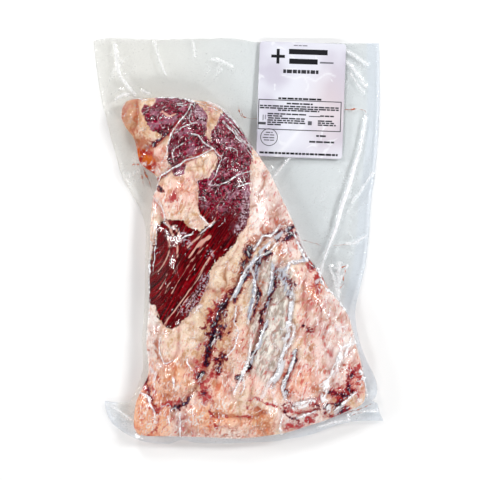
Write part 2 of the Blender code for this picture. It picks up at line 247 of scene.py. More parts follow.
def signedGap(points, loop, reach):
    # positive inside the loop, negative outside, never past reach
    gap = pathGap(points, loop, reach, closed=True)
    return np.where(insideLoop(points, loop), gap, -gap)


def triangularGrid(step, low, high):
    rows = np.arange(low[1], high[1], step * math.sqrt(3) / 2)
    columns = np.arange(low[0], high[0], step)
    return np.vstack(
        [np.column_stack([columns + (k % 2) * step / 2, np.full(len(columns), y)])
         for k, y in enumerate(rows)]
    )


def fillLoop(loop, offsets, step, spare, low, high):
    # rings that follow the loop on its inside, and even points within the last of them
    rings = [insetLoop(loop, offset) for offset in offsets]
    grid = triangularGrid(step, low, high)
    within = signedGap(grid, loop, offsets[-1] + step) > offsets[-1] + step * spare
    return rings + [grid[within]]


def turned(points, degrees):
    # distances along a direction and to the left of it
    cos, sin = math.cos(math.radians(degrees)), math.sin(math.radians(degrees))
    return points[:, 0] * cos + points[:, 1] * sin, points[:, 1] * cos - points[:, 0] * sin


def rolling(points, length, seed, stretch=1.0, turn=0.0):
    # even noise from -1 to 1, drawn out along a direction if stretched
    along, left = turned(points, turn)
    places = zip(along / (length * stretch), left / length)
    return np.array([noise.noise(Vector((u, v, seed))) for u, v in places])


def wandered(points, far, length, seed):
    # the same places, each moved a little by two noises
    return points + far * np.column_stack([rolling(points, length, seed + k) for k in (0, 1)])


def bump(points, centre, radii, turn=0.0):
    along, left = turned(points - centre, turn)
    return np.exp(-((along / radii[0]) ** 2 + (left / radii[1]) ** 2))


def patchValue(points, patches, least=0.0):
    # the strongest of the patches at each place
    value = np.full(len(points), least)
    for centre, radii, strength in patches.values():
        value = np.maximum(value, strength * bump(points, centre, radii))
    return value


def ease(value, low, high):
    run = np.clip((value - low) / (high - low), 0, 1)
    return run * run * (3 - 2 * run)


def meshSheet(rings, loose):
    # triangles inside the first ring, with an edge along every ring
    points = [Vector(p) for p in np.vstack(rings + loose)]
    edges = []
    start = 0
    for ring in rings:
        count = len(ring)
        edges += [(start + k, start + (k + 1) % count) for k in range(count)]
        start += count
    outline = list(range(len(rings[0])))[::-1]
    verts, _, faces, sources, *_ = delaunay_2d_cdt(points, edges, [outline], 1, 1e-5)
    rim = np.zeros(len(rings[0]), int)
    for slot, source in enumerate(sources):
        for first in source:
            if first < len(rim):
                rim[first] = slot
    return np.array([tuple(v) for v in verts]), np.array(faces), rim


def joinFaces(upper, lower):
    # one closed shell from an upper and a lower sheet that share their outer ring
    upperPoints, upperFaces, upperRim = upper
    lowerPoints, lowerFaces, lowerRim = lower
    points = np.vstack([upperPoints, lowerPoints])
    swap = np.arange(len(points))
    swap[lowerRim + len(upperPoints)] = upperRim
    faces = np.vstack([upperFaces, swap[lowerFaces[:, ::-1] + len(upperPoints)]])
    used = np.unique(faces)
    slot = np.full(len(points), -1)
    slot[used] = np.arange(len(used))
    return points[used], slot[faces], used


def makePiece(name, points, faces, material, values=None, uvs=None):
    # a smooth-shaded mesh in the frame's metres, with its named values and grain map
    mesh = bpy.data.meshes.new(name)
    placed = (points - (*packCentre, 0)) * mm
    mesh.from_pydata(placed.tolist(), [], faces.tolist())
    mesh.polygons.foreach_set("use_smooth", np.ones(len(mesh.polygons), bool))
    for label, data in (values or {}).items():
        layer = mesh.attributes.new(label, "FLOAT", "POINT")
        layer.data.foreach_set("value", np.asarray(data, np.float32))
    if uvs is not None:
        layer = mesh.uv_layers.new(name="grain")
        corners = np.empty(len(mesh.loops), np.int32)
        mesh.loops.foreach_get("vertex_index", corners)
        layer.data.foreach_set("uv", uvs[corners].astype(np.float32).ravel())
    mesh.materials.append(material)
    mesh.validate()
    piece = bpy.data.objects.new(name, mesh)
    bpy.context.scene.collection.objects.link(piece)
    return piece


# Form of the pack


seamLoop = insetLoop(smoothPath(meatOutline, 4.3, closed=True), packShape["sideInset"])
seamFine = smoothPath(seamLoop, 1.1, closed=True)
pouchLoop = np.vstack([smoothPath(edge, 1.6)[:-1] for edge in pouchEdges.values()])
creasePaths = {name: smoothPath(row[2], 3.5) for name, row in creases.items()}


def marginHeight(points, gap):
    # middle height of the free film: at the seam by the meat, down to rest further out
    fall = np.exp(-gap / packShape["marginFall"])
    wave = packShape["marginWave"] * 0.5 * (1 + rolling(points, packShape["waveLength"], 3.0))
    drop = packShape["seamHeight"] - packShape["marginRest"]
    return packShape["marginRest"] + drop * fall + wave * (1 - fall)


def crownHeight(points, depth, creaseDepth=1.0):
    # height of the upper side; depth is the distance in from the seam
    thick = packShape["bodyThick"] + sum(
        rise * bump(points, centre, radii) for centre, radii, rise in swells.values()
    )
    relief = sum(
        rise * bump(points, centre, radii, turn) for centre, radii, turn, rise in lobes.values()
    )
    relief = relief + packShape["fatLump"] * rolling(points, packShape["fatLumpLength"], 7.0)
    for name, (halfWidth, drop, _) in creases.items():
        gap = pathGap(points, creasePaths[name], halfWidth * 3)
        relief = relief - creaseDepth * drop * np.exp(-((gap / halfWidth) ** 2))
    run = np.clip(depth / packShape["crownRun"], 0, 1)
    shoulder = np.sqrt(1 - (1 - run) ** 2)
    settle = np.clip(depth / packShape["settleRun"], 0, 1)
    seam = packShape["seamHeight"]
    return seam + (thick - seam) * shoulder + relief * settle


def keelHeight(depth, film):
    run = np.clip(depth / packShape["keelRun"], 0, 1)
    return (packShape["seamHeight"] - film) * (1 - np.sqrt(1 - (1 - run) ** 2))


def leanOut(points, depth, nearest, extra=0.0):
    # plan places after the upper side bulges out over the seam
    run = depth / packShape["overhangRun"]
    out = packShape["overhang"] * run * np.exp(1 - run) + extra * np.exp(-depth / packShape["extraRun"])
    outward = (nearest - points) / np.maximum(depth, 1e-6)[:, None]
    return points + outward * (out * (depth > onLine))[:, None]


# Material tools


def linear(channel):
    value = channel / 255
    return value / 12.92 if value <= 0.04045 else ((value + 0.055) / 1.055) ** 2.4


def tone(red, green, blue):
    # a colour-card reading (0 to 255) as it has to be under this light
    brightest = 0.95
    return (*(min(brightest, linear(c) / lightLevel) for c in (red, green, blue)), 1.0)


def newMaterial(name):
    material = bpy.data.materials.new(name)
    material.use_nodes = True
    material.node_tree.nodes.clear()
    return material, material.node_tree


def addNode(tree, kind, inputs=None, **settings):
    # inputs are values or links, by name or number; a node stands to the right of those that feed it
    node = tree.nodes.new(kind)
    node.location.y = -110 * len(tree.nodes)
    for key, value in settings.items():
        setattr(node, key, value)
    for key, source in (inputs or {}).items():
        feed(tree, node.inputs[key], source)
    return node


def feed(tree, socket, source):
    # a socket takes its own value or a link, from a node's first output where a node is given
    if isinstance(source, bpy.types.Node):
        source = source.outputs[0]
    if isinstance(source, bpy.types.NodeSocket):
        tree.links.new(source, socket)
        socket.node.location.x = max(socket.node.location.x, source.node.location.x + 200)
    else:
        socket.default_value = source


def newGroup(name, treeKind, inputs, output):
    # a node group with the named inputs (kind and first value) and one output (name and kind)
    tree = bpy.data.node_groups.new(name, treeKind)
    for label, (kind, value) in inputs.items():
        socket = tree.interface.new_socket(label, in_out="INPUT", socket_type="NodeSocket" + kind)
        if value is not None:
            socket.default_value = value
    label, kind = output
    tree.interface.new_socket(label, in_out="OUTPUT", socket_type="NodeSocket" + kind)
    entry = addNode(tree, "NodeGroupInput")
    leave = addNode(tree, "NodeGroupOutput")
    return tree, entry.outputs, leave.inputs


def surfaced(material, shader):
    addNode(material.node_tree, "ShaderNodeOutputMaterial", {"Surface": shader})
    return material


def objectPlace(tree):
    return addNode(tree, "ShaderNodeTexCoord").outputs["Object"]


def attribute(tree, name):
    return addNode(tree, "ShaderNodeAttribute", attribute_name=name).outputs["Fac"]


def maths(tree, operation, first, second=0.0, third=None, clamp=False):
    node = addNode(tree, "ShaderNodeMath", {0: first, 1: second}, operation=operation, use_clamp=clamp)
    if third is not None:
        feed(tree, node.inputs[2], third)
    return node.outputs[0]


def times(tree, first, second):
    return maths(tree, "MULTIPLY", first, second)


def mixColour(tree, factor, first, second):
    return addNode(tree, "ShaderNodeMix", {0: factor, 6: first, 7: second}, data_type="RGBA").outputs[2]


def between(tree, factor, readings):
    # from the first to the second of two colour-card readings
    return mixColour(tree, factor, *(tone(*reading) for reading in readings))


def noiseNode(tree, place, scale, detail=2.0, rough=0.5, distort=0.0):
    node = addNode(tree, "ShaderNodeTexNoise", {
        "Vector": place, "Scale": scale, "Detail": detail, "Roughness": rough, "Distortion": distort,
    })
    return node.outputs["Fac"]


def band(tree, value, low, high, start=0.0, end=1.0):
    node = addNode(tree, "ShaderNodeMapRange", {
        "Value": value, "From Min": low, "From Max": high, "To Min": start, "To Max": end,
    }, interpolation_type="SMOOTHSTEP")
    return node.outputs["Result"]


def reliefOf(tree, height, strength, depth):
    # a bump from a height, with its full depth in millimetres
    return addNode(tree, "ShaderNodeBump", {
        "Strength": strength, "Distance": depth * mm, "Height": height,
    })


def brokenEdgeGroup():
    # turns a distance in millimetres into a mask whose edge wanders with a noise
    group, entry, leave = newGroup("brokenEdge", "ShaderNodeTree", {
        "Distance": ("Float", 0.0),
        "Noise": ("Float", 0.5),
        "Wander": ("Float", 2.0),
        "Softness": ("Float", 0.5),
    }, ("Mask", "Float"))
    centred = maths(group, "SUBTRACT", entry["Noise"], 0.5)
    shifted = maths(group, "MULTIPLY_ADD", centred, entry["Wander"], entry["Distance"])
    outer = times(group, entry["Softness"], -1.0)
    feed(group, leave["Mask"], band(group, shifted, outer, entry["Softness"]))
    return group


def crumpleGroup():
    # fine creasing of thin film or paper: a height with sharp folds, in two sizes
    group, entry, leave = newGroup("crumple", "ShaderNodeTree", {
        "Vector": ("Vector", None),
        "Size": ("Float", 90.0),
        "Fineness": ("Float", 3.1),
        "Share": ("Float", 0.4),
    }, ("Height", "Float"))
    folds = []
    for scale in (entry["Size"], times(group, entry["Size"], entry["Fineness"])):
        wave = noiseNode(group, entry["Vector"], scale, 1.5, 0.5, 0.6)
        folds.append(maths(group, "ABSOLUTE", maths(group, "SUBTRACT", wave, 0.5)))
    feed(group, leave["Height"], maths(group, "MULTIPLY_ADD", folds[1], entry["Share"], folds[0]))
    return group


brokenEdge = brokenEdgeGroup()
crumple = crumpleGroup()


def brokenMask(tree, distance, grain, wander, softness):
    return addNode(tree, "ShaderNodeGroup", {
        "Distance": distance, "Noise": grain, "Wander": wander, "Softness": softness,
    }, node_tree=brokenEdge).outputs["Mask"]


def drawnOut(tree, place, turn, stretch):
    # the same places drawn out along a direction in degrees, for streaks
    return addNode(tree, "ShaderNodeMapping", {
        "Vector": place, "Rotation": (0.0, 0.0, math.radians(turn)), "Scale": (stretch, 1.0, 1.0),
    }, vector_type="TEXTURE").outputs["Vector"]


def crumpleHeight(tree, place, size, fineness, share):
    return addNode(tree, "ShaderNodeGroup", {
        "Vector": place, "Size": size, "Fineness": fineness, "Share": share,
    }, node_tree=crumple).outputs["Height"]


def foldLines(tree, place, size, fineness, share, width):
    # 1 on the fold lines of a crumple, 0 between them
    height = crumpleHeight(tree, place, size, fineness, share)
    return band(tree, height, width * 0.3, width, 1.0, 0.0)


# Geometry-node tools


def newGeometryTree(name, inputs):
    geometry = {"Geometry": ("Geometry", None)}
    return newGroup(name, "GeometryNodeTree", {**geometry, **inputs}, ("Geometry", "Geometry"))


def namedValue(tree, name, kind="FLOAT"):
    node = addNode(tree, "GeometryNodeInputNamedAttribute", {"Name": name}, data_type=kind)
    return node.outputs["Attribute"]


def dress(tree, entry, leave, shape):
    # the last step of a tree: its own material on the shape
    dressed = addNode(tree, "GeometryNodeSetMaterial", {"Geometry": shape, "Material": entry["Finish"]})
    feed(tree, leave["Geometry"], dressed)
    return tree


def runTree(name, mesh, tree, values):
    # sets the tree's inputs by their identifiers and keeps the result as a plain mesh
    carrier = bpy.data.objects.new(name, mesh)
    bpy.context.scene.collection.objects.link(carrier)
    maker = carrier.modifiers.new(name, "NODES")
    maker.node_group = tree
    for item in tree.interface.items_tree:
        if item.in_out == "INPUT" and item.name in values:
            maker[item.identifier] = values[item.name]
    graph = bpy.context.evaluated_depsgraph_get()
    made = bpy.data.meshes.new_from_object(carrier.evaluated_get(graph))
    carrier.modifiers.remove(maker)
    carrier.data = made
    print(name + ":", len(made.polygons), "faces")
    return carrier


def layOnGroup():
    # drops points straight down onto a surface, lifts them a little and deletes those that miss
    dropFrom = 0.2  # metres, well above the pack
    tree, entry, leave = newGeometryTree("layOnSurface", {
        "Surface": ("Object", None),
        "Lift": ("Float", 0.0001),
    })
    surface = addNode(tree, "GeometryNodeObjectInfo", {"Object": entry["Surface"]})
    spot = addNode(tree, "GeometryNodeInputPosition")
    parts = addNode(tree, "ShaderNodeSeparateXYZ", {0: spot})
    above = addNode(tree, "ShaderNodeCombineXYZ", {
        "X": parts.outputs["X"], "Y": parts.outputs["Y"], "Z": dropFrom,
    })
    ray = addNode(tree, "GeometryNodeRaycast", {
        "Target Geometry": surface.outputs["Geometry"], "Source Position": above,
        "Ray Direction": (0, 0, -1), "Ray Length": 2 * dropFrom,
    })
    missed = addNode(tree, "FunctionNodeBooleanMath", {0: ray.outputs["Is Hit"]}, operation="NOT")
    trimmed = addNode(tree, "GeometryNodeDeleteGeometry", {
        "Geometry": entry["Geometry"], "Selection": missed,
    }, domain="POINT")
    raised = addNode(tree, "ShaderNodeVectorMath", {
        0: ray.outputs["Hit Normal"], "Scale": entry["Lift"],
    }, operation="SCALE")
    place = addNode(tree, "ShaderNodeVectorMath", {
        0: ray.outputs["Hit Position"], 1: raised,
    }, operation="ADD")
    laid = addNode(tree, "GeometryNodeSetPosition", {"Geometry": trimmed, "Position": place})
    feed(tree, leave["Geometry"], laid)
    return tree


def strandTree():
    # thin tapered ridges along drawn lines, laid on a surface
    tree, entry, leave = newGeometryTree("filmStrands", {
        "Surface": ("Object", None),
        "Width": ("Float", 1.0),
        "Flatness": ("Float", 0.6),
        "Unevenness": ("Float", 1.0),
        "Waver": ("Float", 0.0008),
        "Waver Scale": ("Float", 160.0),
        "Lift": ("Float", 0.0),
        "Step": ("Float", 0.0009),
        "Finish": ("Material", None),
    })
    line = addNode(tree, "GeometryNodeMeshToCurve", {"Mesh": entry["Geometry"]})
    even = addNode(tree, "GeometryNodeResampleCurve", {
        "Curve": line, "Length": entry["Step"],
    }, mode="LENGTH")
    spot = addNode(tree, "GeometryNodeInputPosition")
    wave = addNode(tree, "ShaderNodeTexNoise", {"Vector": spot, "Scale": entry["Waver Scale"]})
    centred = addNode(tree, "ShaderNodeVectorMath", {
        0: wave.outputs["Color"], 1: (0.5, 0.5, 0.5),
    }, operation="SUBTRACT")
    sway = addNode(tree, "ShaderNodeVectorMath", {0: centred, "Scale": entry["Waver"]}, operation="SCALE")
    swayed = addNode(tree, "GeometryNodeSetPosition", {"Geometry": even, "Offset": sway})
    laid = addNode(tree, "GeometryNodeGroup", {
        "Geometry": swayed, "Surface": entry["Surface"], "Lift": entry["Lift"],
    }, node_tree=layOn)
    # width: the line's own, tapered to both ends and uneven along it
    own = namedValue(tree, "halfWidth")
    along = addNode(tree, "GeometryNodeSplineParameter")
    arch = maths(tree, "SINE", times(tree, along.outputs["Factor"], math.pi))
    taper = maths(tree, "POWER", maths(tree, "MAXIMUM", arch, 0.02), 0.55)
    rough = band(tree, noiseNode(tree, spot, 330.0), 0.32, 0.68, 0.1, 1.5)
    swell = band(tree, noiseNode(tree, spot, 85.0), 0.36, 0.64, 0.25, 1.6)
    uneven = maths(tree, "SUBTRACT", times(tree, rough, swell), 1.0)
    uneven = maths(tree, "MULTIPLY_ADD", uneven, entry["Unevenness"], 1.0)
    wide = times(tree, times(tree, times(tree, own, entry["Width"]), taper), uneven)
    level = addNode(tree, "GeometryNodeSetCurveNormal", {"Curve": laid}, mode="Z_UP")
    ring = addNode(tree, "GeometryNodeCurvePrimitiveCircle", {"Resolution": 7, "Radius": 1.0})
    squash = addNode(tree, "ShaderNodeCombineXYZ", {"X": 1.0, "Y": entry["Flatness"], "Z": 1.0})
    profile = addNode(tree, "GeometryNodeTransform", {"Geometry": ring, "Scale": squash})
    tube = addNode(tree, "GeometryNodeCurveToMesh", {
        "Curve": level, "Profile Curve": profile, "Scale": wide, "Fill Caps": True,
    })
    soft = addNode(tree, "GeometryNodeSetShadeSmooth", {0: tube})
    whole = addNode(tree, "GeometryNodeRealizeInstances", {0: soft})
    return dress(tree, entry, leave, whole)


def puckerTree():
    # short bent slivers scattered over a surface where its named zone allows them
    tree, entry, leave = newGeometryTree("filmPuckers", {
        "Surface": ("Object", None),
        "Zone": ("String", "pucker"),
        "Spacing": ("Float", 0.004),
        "Turn": ("Float", 1.1),
        "Turn Spread": ("Float", 0.8),
        "Shortest": ("Vector", (0.0015, 0.0016, 0.0016)),
        "Longest": ("Vector", (0.0045, 0.0034, 0.0034)),
        "Seed": ("Int", 3),
        "Finish": ("Material", None),
    })
    surface = addNode(tree, "GeometryNodeObjectInfo", {"Object": entry["Surface"]})
    zone = namedValue(tree, entry["Zone"])
    spread = addNode(tree, "GeometryNodeDistributePointsOnFaces", {
        "Mesh": surface.outputs["Geometry"], "Distance Min": entry["Spacing"], "Density Max": 160000.0,
        "Density Factor": zone, "Seed": entry["Seed"],
    }, distribute_method="POISSON")
    # one sliver: a short bow, thin at both ends
    line = addNode(tree, "GeometryNodeCurvePrimitiveLine", {"Start": (-0.5, 0, 0), "End": (0.5, 0, 0)})
    even = addNode(tree, "GeometryNodeResampleCurve", {"Count": 5, "Curve": line})
    along = addNode(tree, "GeometryNodeSplineParameter")
    arch = maths(tree, "SINE", times(tree, along.outputs["Factor"], math.pi))
    bow = addNode(tree, "ShaderNodeCombineXYZ", {"Y": times(tree, arch, 0.16)})
    bent = addNode(tree, "GeometryNodeSetPosition", {"Geometry": even, "Offset": bow})
    ring = addNode(tree, "GeometryNodeCurvePrimitiveCircle", {"Resolution": 5, "Radius": 0.085})
    tube = addNode(tree, "GeometryNodeCurveToMesh", {
        "Curve": bent, "Profile Curve": ring, "Scale": maths(tree, "MAXIMUM", arch, 0.05),
        "Fill Caps": True,
    })
    # turned near the film's own pull and laid on its slope
    swing = addNode(tree, "FunctionNodeRandomValue", {
        2: maths(tree, "SUBTRACT", entry["Turn"], entry["Turn Spread"]),
        3: maths(tree, "ADD", entry["Turn"], entry["Turn Spread"]), "Seed": entry["Seed"],
    }, data_type="FLOAT")
    heading = addNode(tree, "ShaderNodeCombineXYZ", {
        "X": maths(tree, "COSINE", swing.outputs[1]), "Y": maths(tree, "SINE", swing.outputs[1]),
    })
    facing = addNode(tree, "FunctionNodeAlignRotationToVector", {"Vector": heading}, axis="X")
    slope = addNode(tree, "FunctionNodeAlignRotationToVector", {
        "Rotation": facing, "Vector": spread.outputs["Normal"],
    }, axis="Z")
    size = addNode(tree, "FunctionNodeRandomValue", {
        0: entry["Shortest"], 1: entry["Longest"], "Seed": entry["Seed"],
    }, data_type="FLOAT_VECTOR")
    scattered = addNode(tree, "GeometryNodeInstanceOnPoints", {
        "Points": spread.outputs["Points"], "Instance": tube, "Rotation": slope, "Scale": size,
    })
    whole = addNode(tree, "GeometryNodeRealizeInstances", {0: scattered})
    soft = addNode(tree, "GeometryNodeSetShadeSmooth", {0: whole})
    return dress(tree, entry, leave, soft)


def printTree():
    # a thin block of ink at each point, sized and turned by its own values and laid on the paper
    tree, entry, leave = newGeometryTree("labelInk", {
        "Surface": ("Object", None),
        "Ink Lift": ("Float", -0.00004),
        "Ink Depth": ("Float", 0.0001),
        "Finish": ("Material", None),
    })
    block = addNode(tree, "GeometryNodeMeshGrid", {
        "Size X": 1.0, "Size Y": 1.0, "Vertices X": 9, "Vertices Y": 3,
    })
    upright = addNode(tree, "ShaderNodeCombineXYZ", {"Z": namedValue(tree, "blockTurn")})
    swing = addNode(tree, "FunctionNodeEulerToRotation", {0: upright})
    placed = addNode(tree, "GeometryNodeInstanceOnPoints", {
        "Points": entry["Geometry"], "Instance": block, "Rotation": swing,
        "Scale": namedValue(tree, "blockSize", "FLOAT_VECTOR"),
    })
    whole = addNode(tree, "GeometryNodeRealizeInstances", {0: placed})
    laid = addNode(tree, "GeometryNodeGroup", {
        "Geometry": whole, "Surface": entry["Surface"], "Lift": entry["Ink Lift"],
    }, node_tree=layOn)
    raised = addNode(tree, "GeometryNodeExtrudeMesh", {
        "Mesh": laid, "Offset Scale": entry["Ink Depth"], "Individual": False,
    }, mode="FACES")
    base = addNode(tree, "GeometryNodeFlipFaces", {0: laid})
    closed = addNode(tree, "GeometryNodeJoinGeometry", {0: raised.outputs["Mesh"]})
    feed(tree, closed.inputs[0], base)
    merged = addNode(tree, "GeometryNodeMergeByDistance", {"Geometry": closed, "Distance": 0.000002})
    return dress(tree, entry, leave, merged)


def lineMesh(name, lines, step):
    # drawn lines as chains of edges in the plan, each point with its line's half width
    points = []
    edges = []
    widths = []
    for halfWidth, path in lines.values():
        spots = smoothPath(path, step)
        edges += [(len(points) + k, len(points) + k + 1) for k in range(len(spots) - 1)]
        points += [((x - packCentre[0]) * mm, (y - packCentre[1]) * mm, 0.0) for x, y in spots]
        widths += [halfWidth * mm] * len(spots)
    mesh = bpy.data.meshes.new(name)
    mesh.from_pydata(points, edges, [])
    layer = mesh.attributes.new("halfWidth", "FLOAT", "POINT")
    layer.data.foreach_set("value", np.array(widths, np.float32))
    return mesh


layOn = layOnGroup()
strands = strandTree()
puckers = puckerTree()
inkBlocks = printTree()

# Meat


leanRegions = {  # cut lean that shows between the fat, as closed outlines
    "upper": ((-85, 114), (-82, 117), (-73, 117), (-71, 123), (-58, 124), (-47, 123), (-41, 120),
        (-43, 115), (-48, 108), (-53, 102), (-58, 95), (-64, 90), (-72, 94), (-77, 97), (-80, 103),
        (-83, 109)),
    "rolled": ((-44, 116), (-41, 118), (-34, 116), (-28, 112), (-27, 102), (-28, 93), (-23, 81),
        (-34, 75), (-43, 72), (-50, 66), (-54, 64), (-60, 66), (-62, 75), (-61, 86), (-56, 95),
        (-50, 104)),
    "spoon": ((-14, 113), (-6, 104), (1, 95), (7, 86), (10, 75), (10, 60), (10, 40), (10, 27), (7, 13),
        (1, 6), (-3, -2), (-9, -9), (-15, -15), (-21, -21), (-25, -27), (-26, -37), (-30, -45),
        (-32, -51), (-38, -58), (-44, -65), (-51, -72), (-57, -76), (-61, -77), (-67, -72), (-70, -67),
        (-71, -58), (-76, -53), (-76, -41), (-76, -29), (-73, -15), (-71, -1), (-69, 13), (-65, 18),
        (-56, 18), (-47, 17), (-43, 12), (-35, 9), (-30, 11), (-25, 14), (-29, 18), (-34, 25), (-35, 34),
        (-35, 45), (-35, 52), (-25, 55), (-21, 62), (-18, 71), (-24, 82), (-23, 94), (-18, 104)),
    "small": ((-58, 66), (-51, 67), (-46, 66), (-47, 59), (-53, 55), (-58, 58)),
}
fatInLean = {  # fat and sinew inside the lean: half width, then the points along it
    "wedge": (0.5, ((-62, 4), (-60, -4), (-61, -11), (-64, -19), (-69, -27))),
    "orange streak": (0.5, ((-53, -4), (-53, -14))),
    "left streak": (0.4, ((-62, -29), (-64, -34), (-68, -42))),
    "long streak": (0.5, ((-25, -15), (-30, -23), (-36, -34), (-42, -43), (-49, -52), (-55, -60),
        (-61, -67), (-64, -73))),
    "cream wedge": (1.5, ((-25, 3), (-30, 0), (-35, -5))),
    "cream wedge tail": (0.6, ((-33, -2), (-38, -8), (-43, -15))),
    "wedge streak": (0.4, ((-30, 6), (-38, 0), (-44, -6))),
    "wedge streak low": (0.3, ((-27, -4), (-34, -10), (-40, -18))),
    "spoon sinew": (0.5, ((-30, 20), (-26, 14), (-20, 17))),
    "left web": (0.9, ((-63, 17), (-60, 11), (-57, 5))),
    "middle web": (0.8, ((-57, 13), (-52, 6), (-50, 0))),
    "upper web": (0.8, ((-66, 112), (-60, 108), (-55, 110))),
    "fine one": (0.2, ((-18, 30), (-20, 20), (-24, 12))),
    "fine two": (0.15, ((-40, -16), (-46, -26), (-52, -36), (-58, -46))),
    "fine three": (0.15, ((-32, -13), (-38, -22), (-45, -34))),
    "fine four": (0.2, ((-33, -46), (-40, -52), (-46, -60))),
    "fine five": (0.2, ((-37, -44), (-44, -50), (-50, -58), (-54, -66))),
    "fine six": (0.15, ((-55, -26), (-60, -36), (-64, -46))),
    "fine seven": (0.1, ((-14, 2), (-19, -6), (-24, -12))),
}
greyLean = {  # dried, speckled lean: half width and points
    "shore": (5.5, ((-28, -34), (-31, -44), (-38, -52), (-47, -60))),
    "upper spot": (4, ((-25, -12),)),
    "left spot": (4.5, ((-48, 4), (-44, -3))),
    "spoon rim": (3.6, ((7, 40), (5, 22), (-1, 8))),
    "roll top": (3.5, ((-36, 112), (-30, 104))),
}
silverSkin = ((21, -8), (36, -19), (47, -27), (49, -39), (47, -52), (45, -69), (45, -85),
              (38, -98), (33, -113), (26, -126), (14, -115), (10, -96), (10, -74), (10, -52),
              (10, -30))
fatFields = {  # colour of the fat cap: centre, radii, pink, orange, tan (less than 0 is paler); tan is partly painted shade, paler partly painted light
    "folded fat": ((-50, 44), (26, 20), 0.35, 0.45, 0),
    "knob": ((-95, 108), (12, 16), 0, 0.35, -0.1),
    "knob valley": ((-80, 100), (6, 18), 0, 0.35, 0.8),
    "knob crease": ((-91, 107), (5, 17), 0, 0.2, 1.5),
    "left strip": ((-76, -84), (8, 32), 0.1, 0.5, -1.4),
    "left rim": ((-80, 4), (6, 44), 0.35, 0.5, 0),
    "right top": ((26, 40), (18, 46), 0.35, -0.15, -0.8),
    "right shoulder": ((62, -30), (10, 20), 0.3, 0.3, -0.3),
    "shoulder spot": ((68, -44), (9, 12), 0.5, 0.7, 0.2),
    "right edge": ((94, -78), (14, 34), 0.3, 0, -1.1),
    "right shore": ((84, -116), (9, 16), 0.3, 0, -1),
    "spoon bank": ((-24, -60), (16, 36), -0.25, 0.25, 0.55),
    "seam bank": ((6, -88), (14, 26), 0.35, 0.35, 0.25),
    "pillows": ((-52, -114), (26, 18), 0.3, 0.6, 0.35),
    "hem left": ((-74, -154), (20, 20), 0.9, 1.9, 0.2),
    "hem middle": ((-26, -154), (26, 14), 0.3, 1, 0.35),
    "hem brown": ((20, -158), (13, 12), 0.2, 0.8, 0.8),
    "hem lump": ((4, -147), (8, 9), 0.1, -0.1, -0.6),
    "hem lump left": ((-52, -152), (11, 14), 0.2, -0.1, -1),
    "hem right": ((54, -152), (20, 13), 0.4, -0.1, -1.5),
    "low right": ((44, -126), (22, 18), 0.5, 0.3, 0.1),
    "right body": ((72, -84), (22, 34), 0.35, 0.15, -0.5),
    "right foot": ((92, -122), (18, 18), 0.6, 0.25, 0.1),
    "middle": ((24, -110), (14, 24), 0.1, 0.05, 0),
    "by the pool": ((-67, 72), (7, 11), 0.7, 0.4, 0),
    "seam tip": ((32, 20), (18, 15), 0.2, -0.4, -1.1),
    "ledge top": ((50, -6), (9, 11), 0.5, -0.3, -0.8),
    "shoulder edge": ((90, -42), (15, 30), -0.1, -0.3, -1.6),
    "hem foot": ((-20, -170), (60, 8), 0.1, 0.1, -0.8),
    "low spot": ((54, -122), (12, 12), 0.5, 0.3, 0.3),
    "seam foot": ((-14, -130), (10, 15), 0.5, 0.5, 0.2),
}
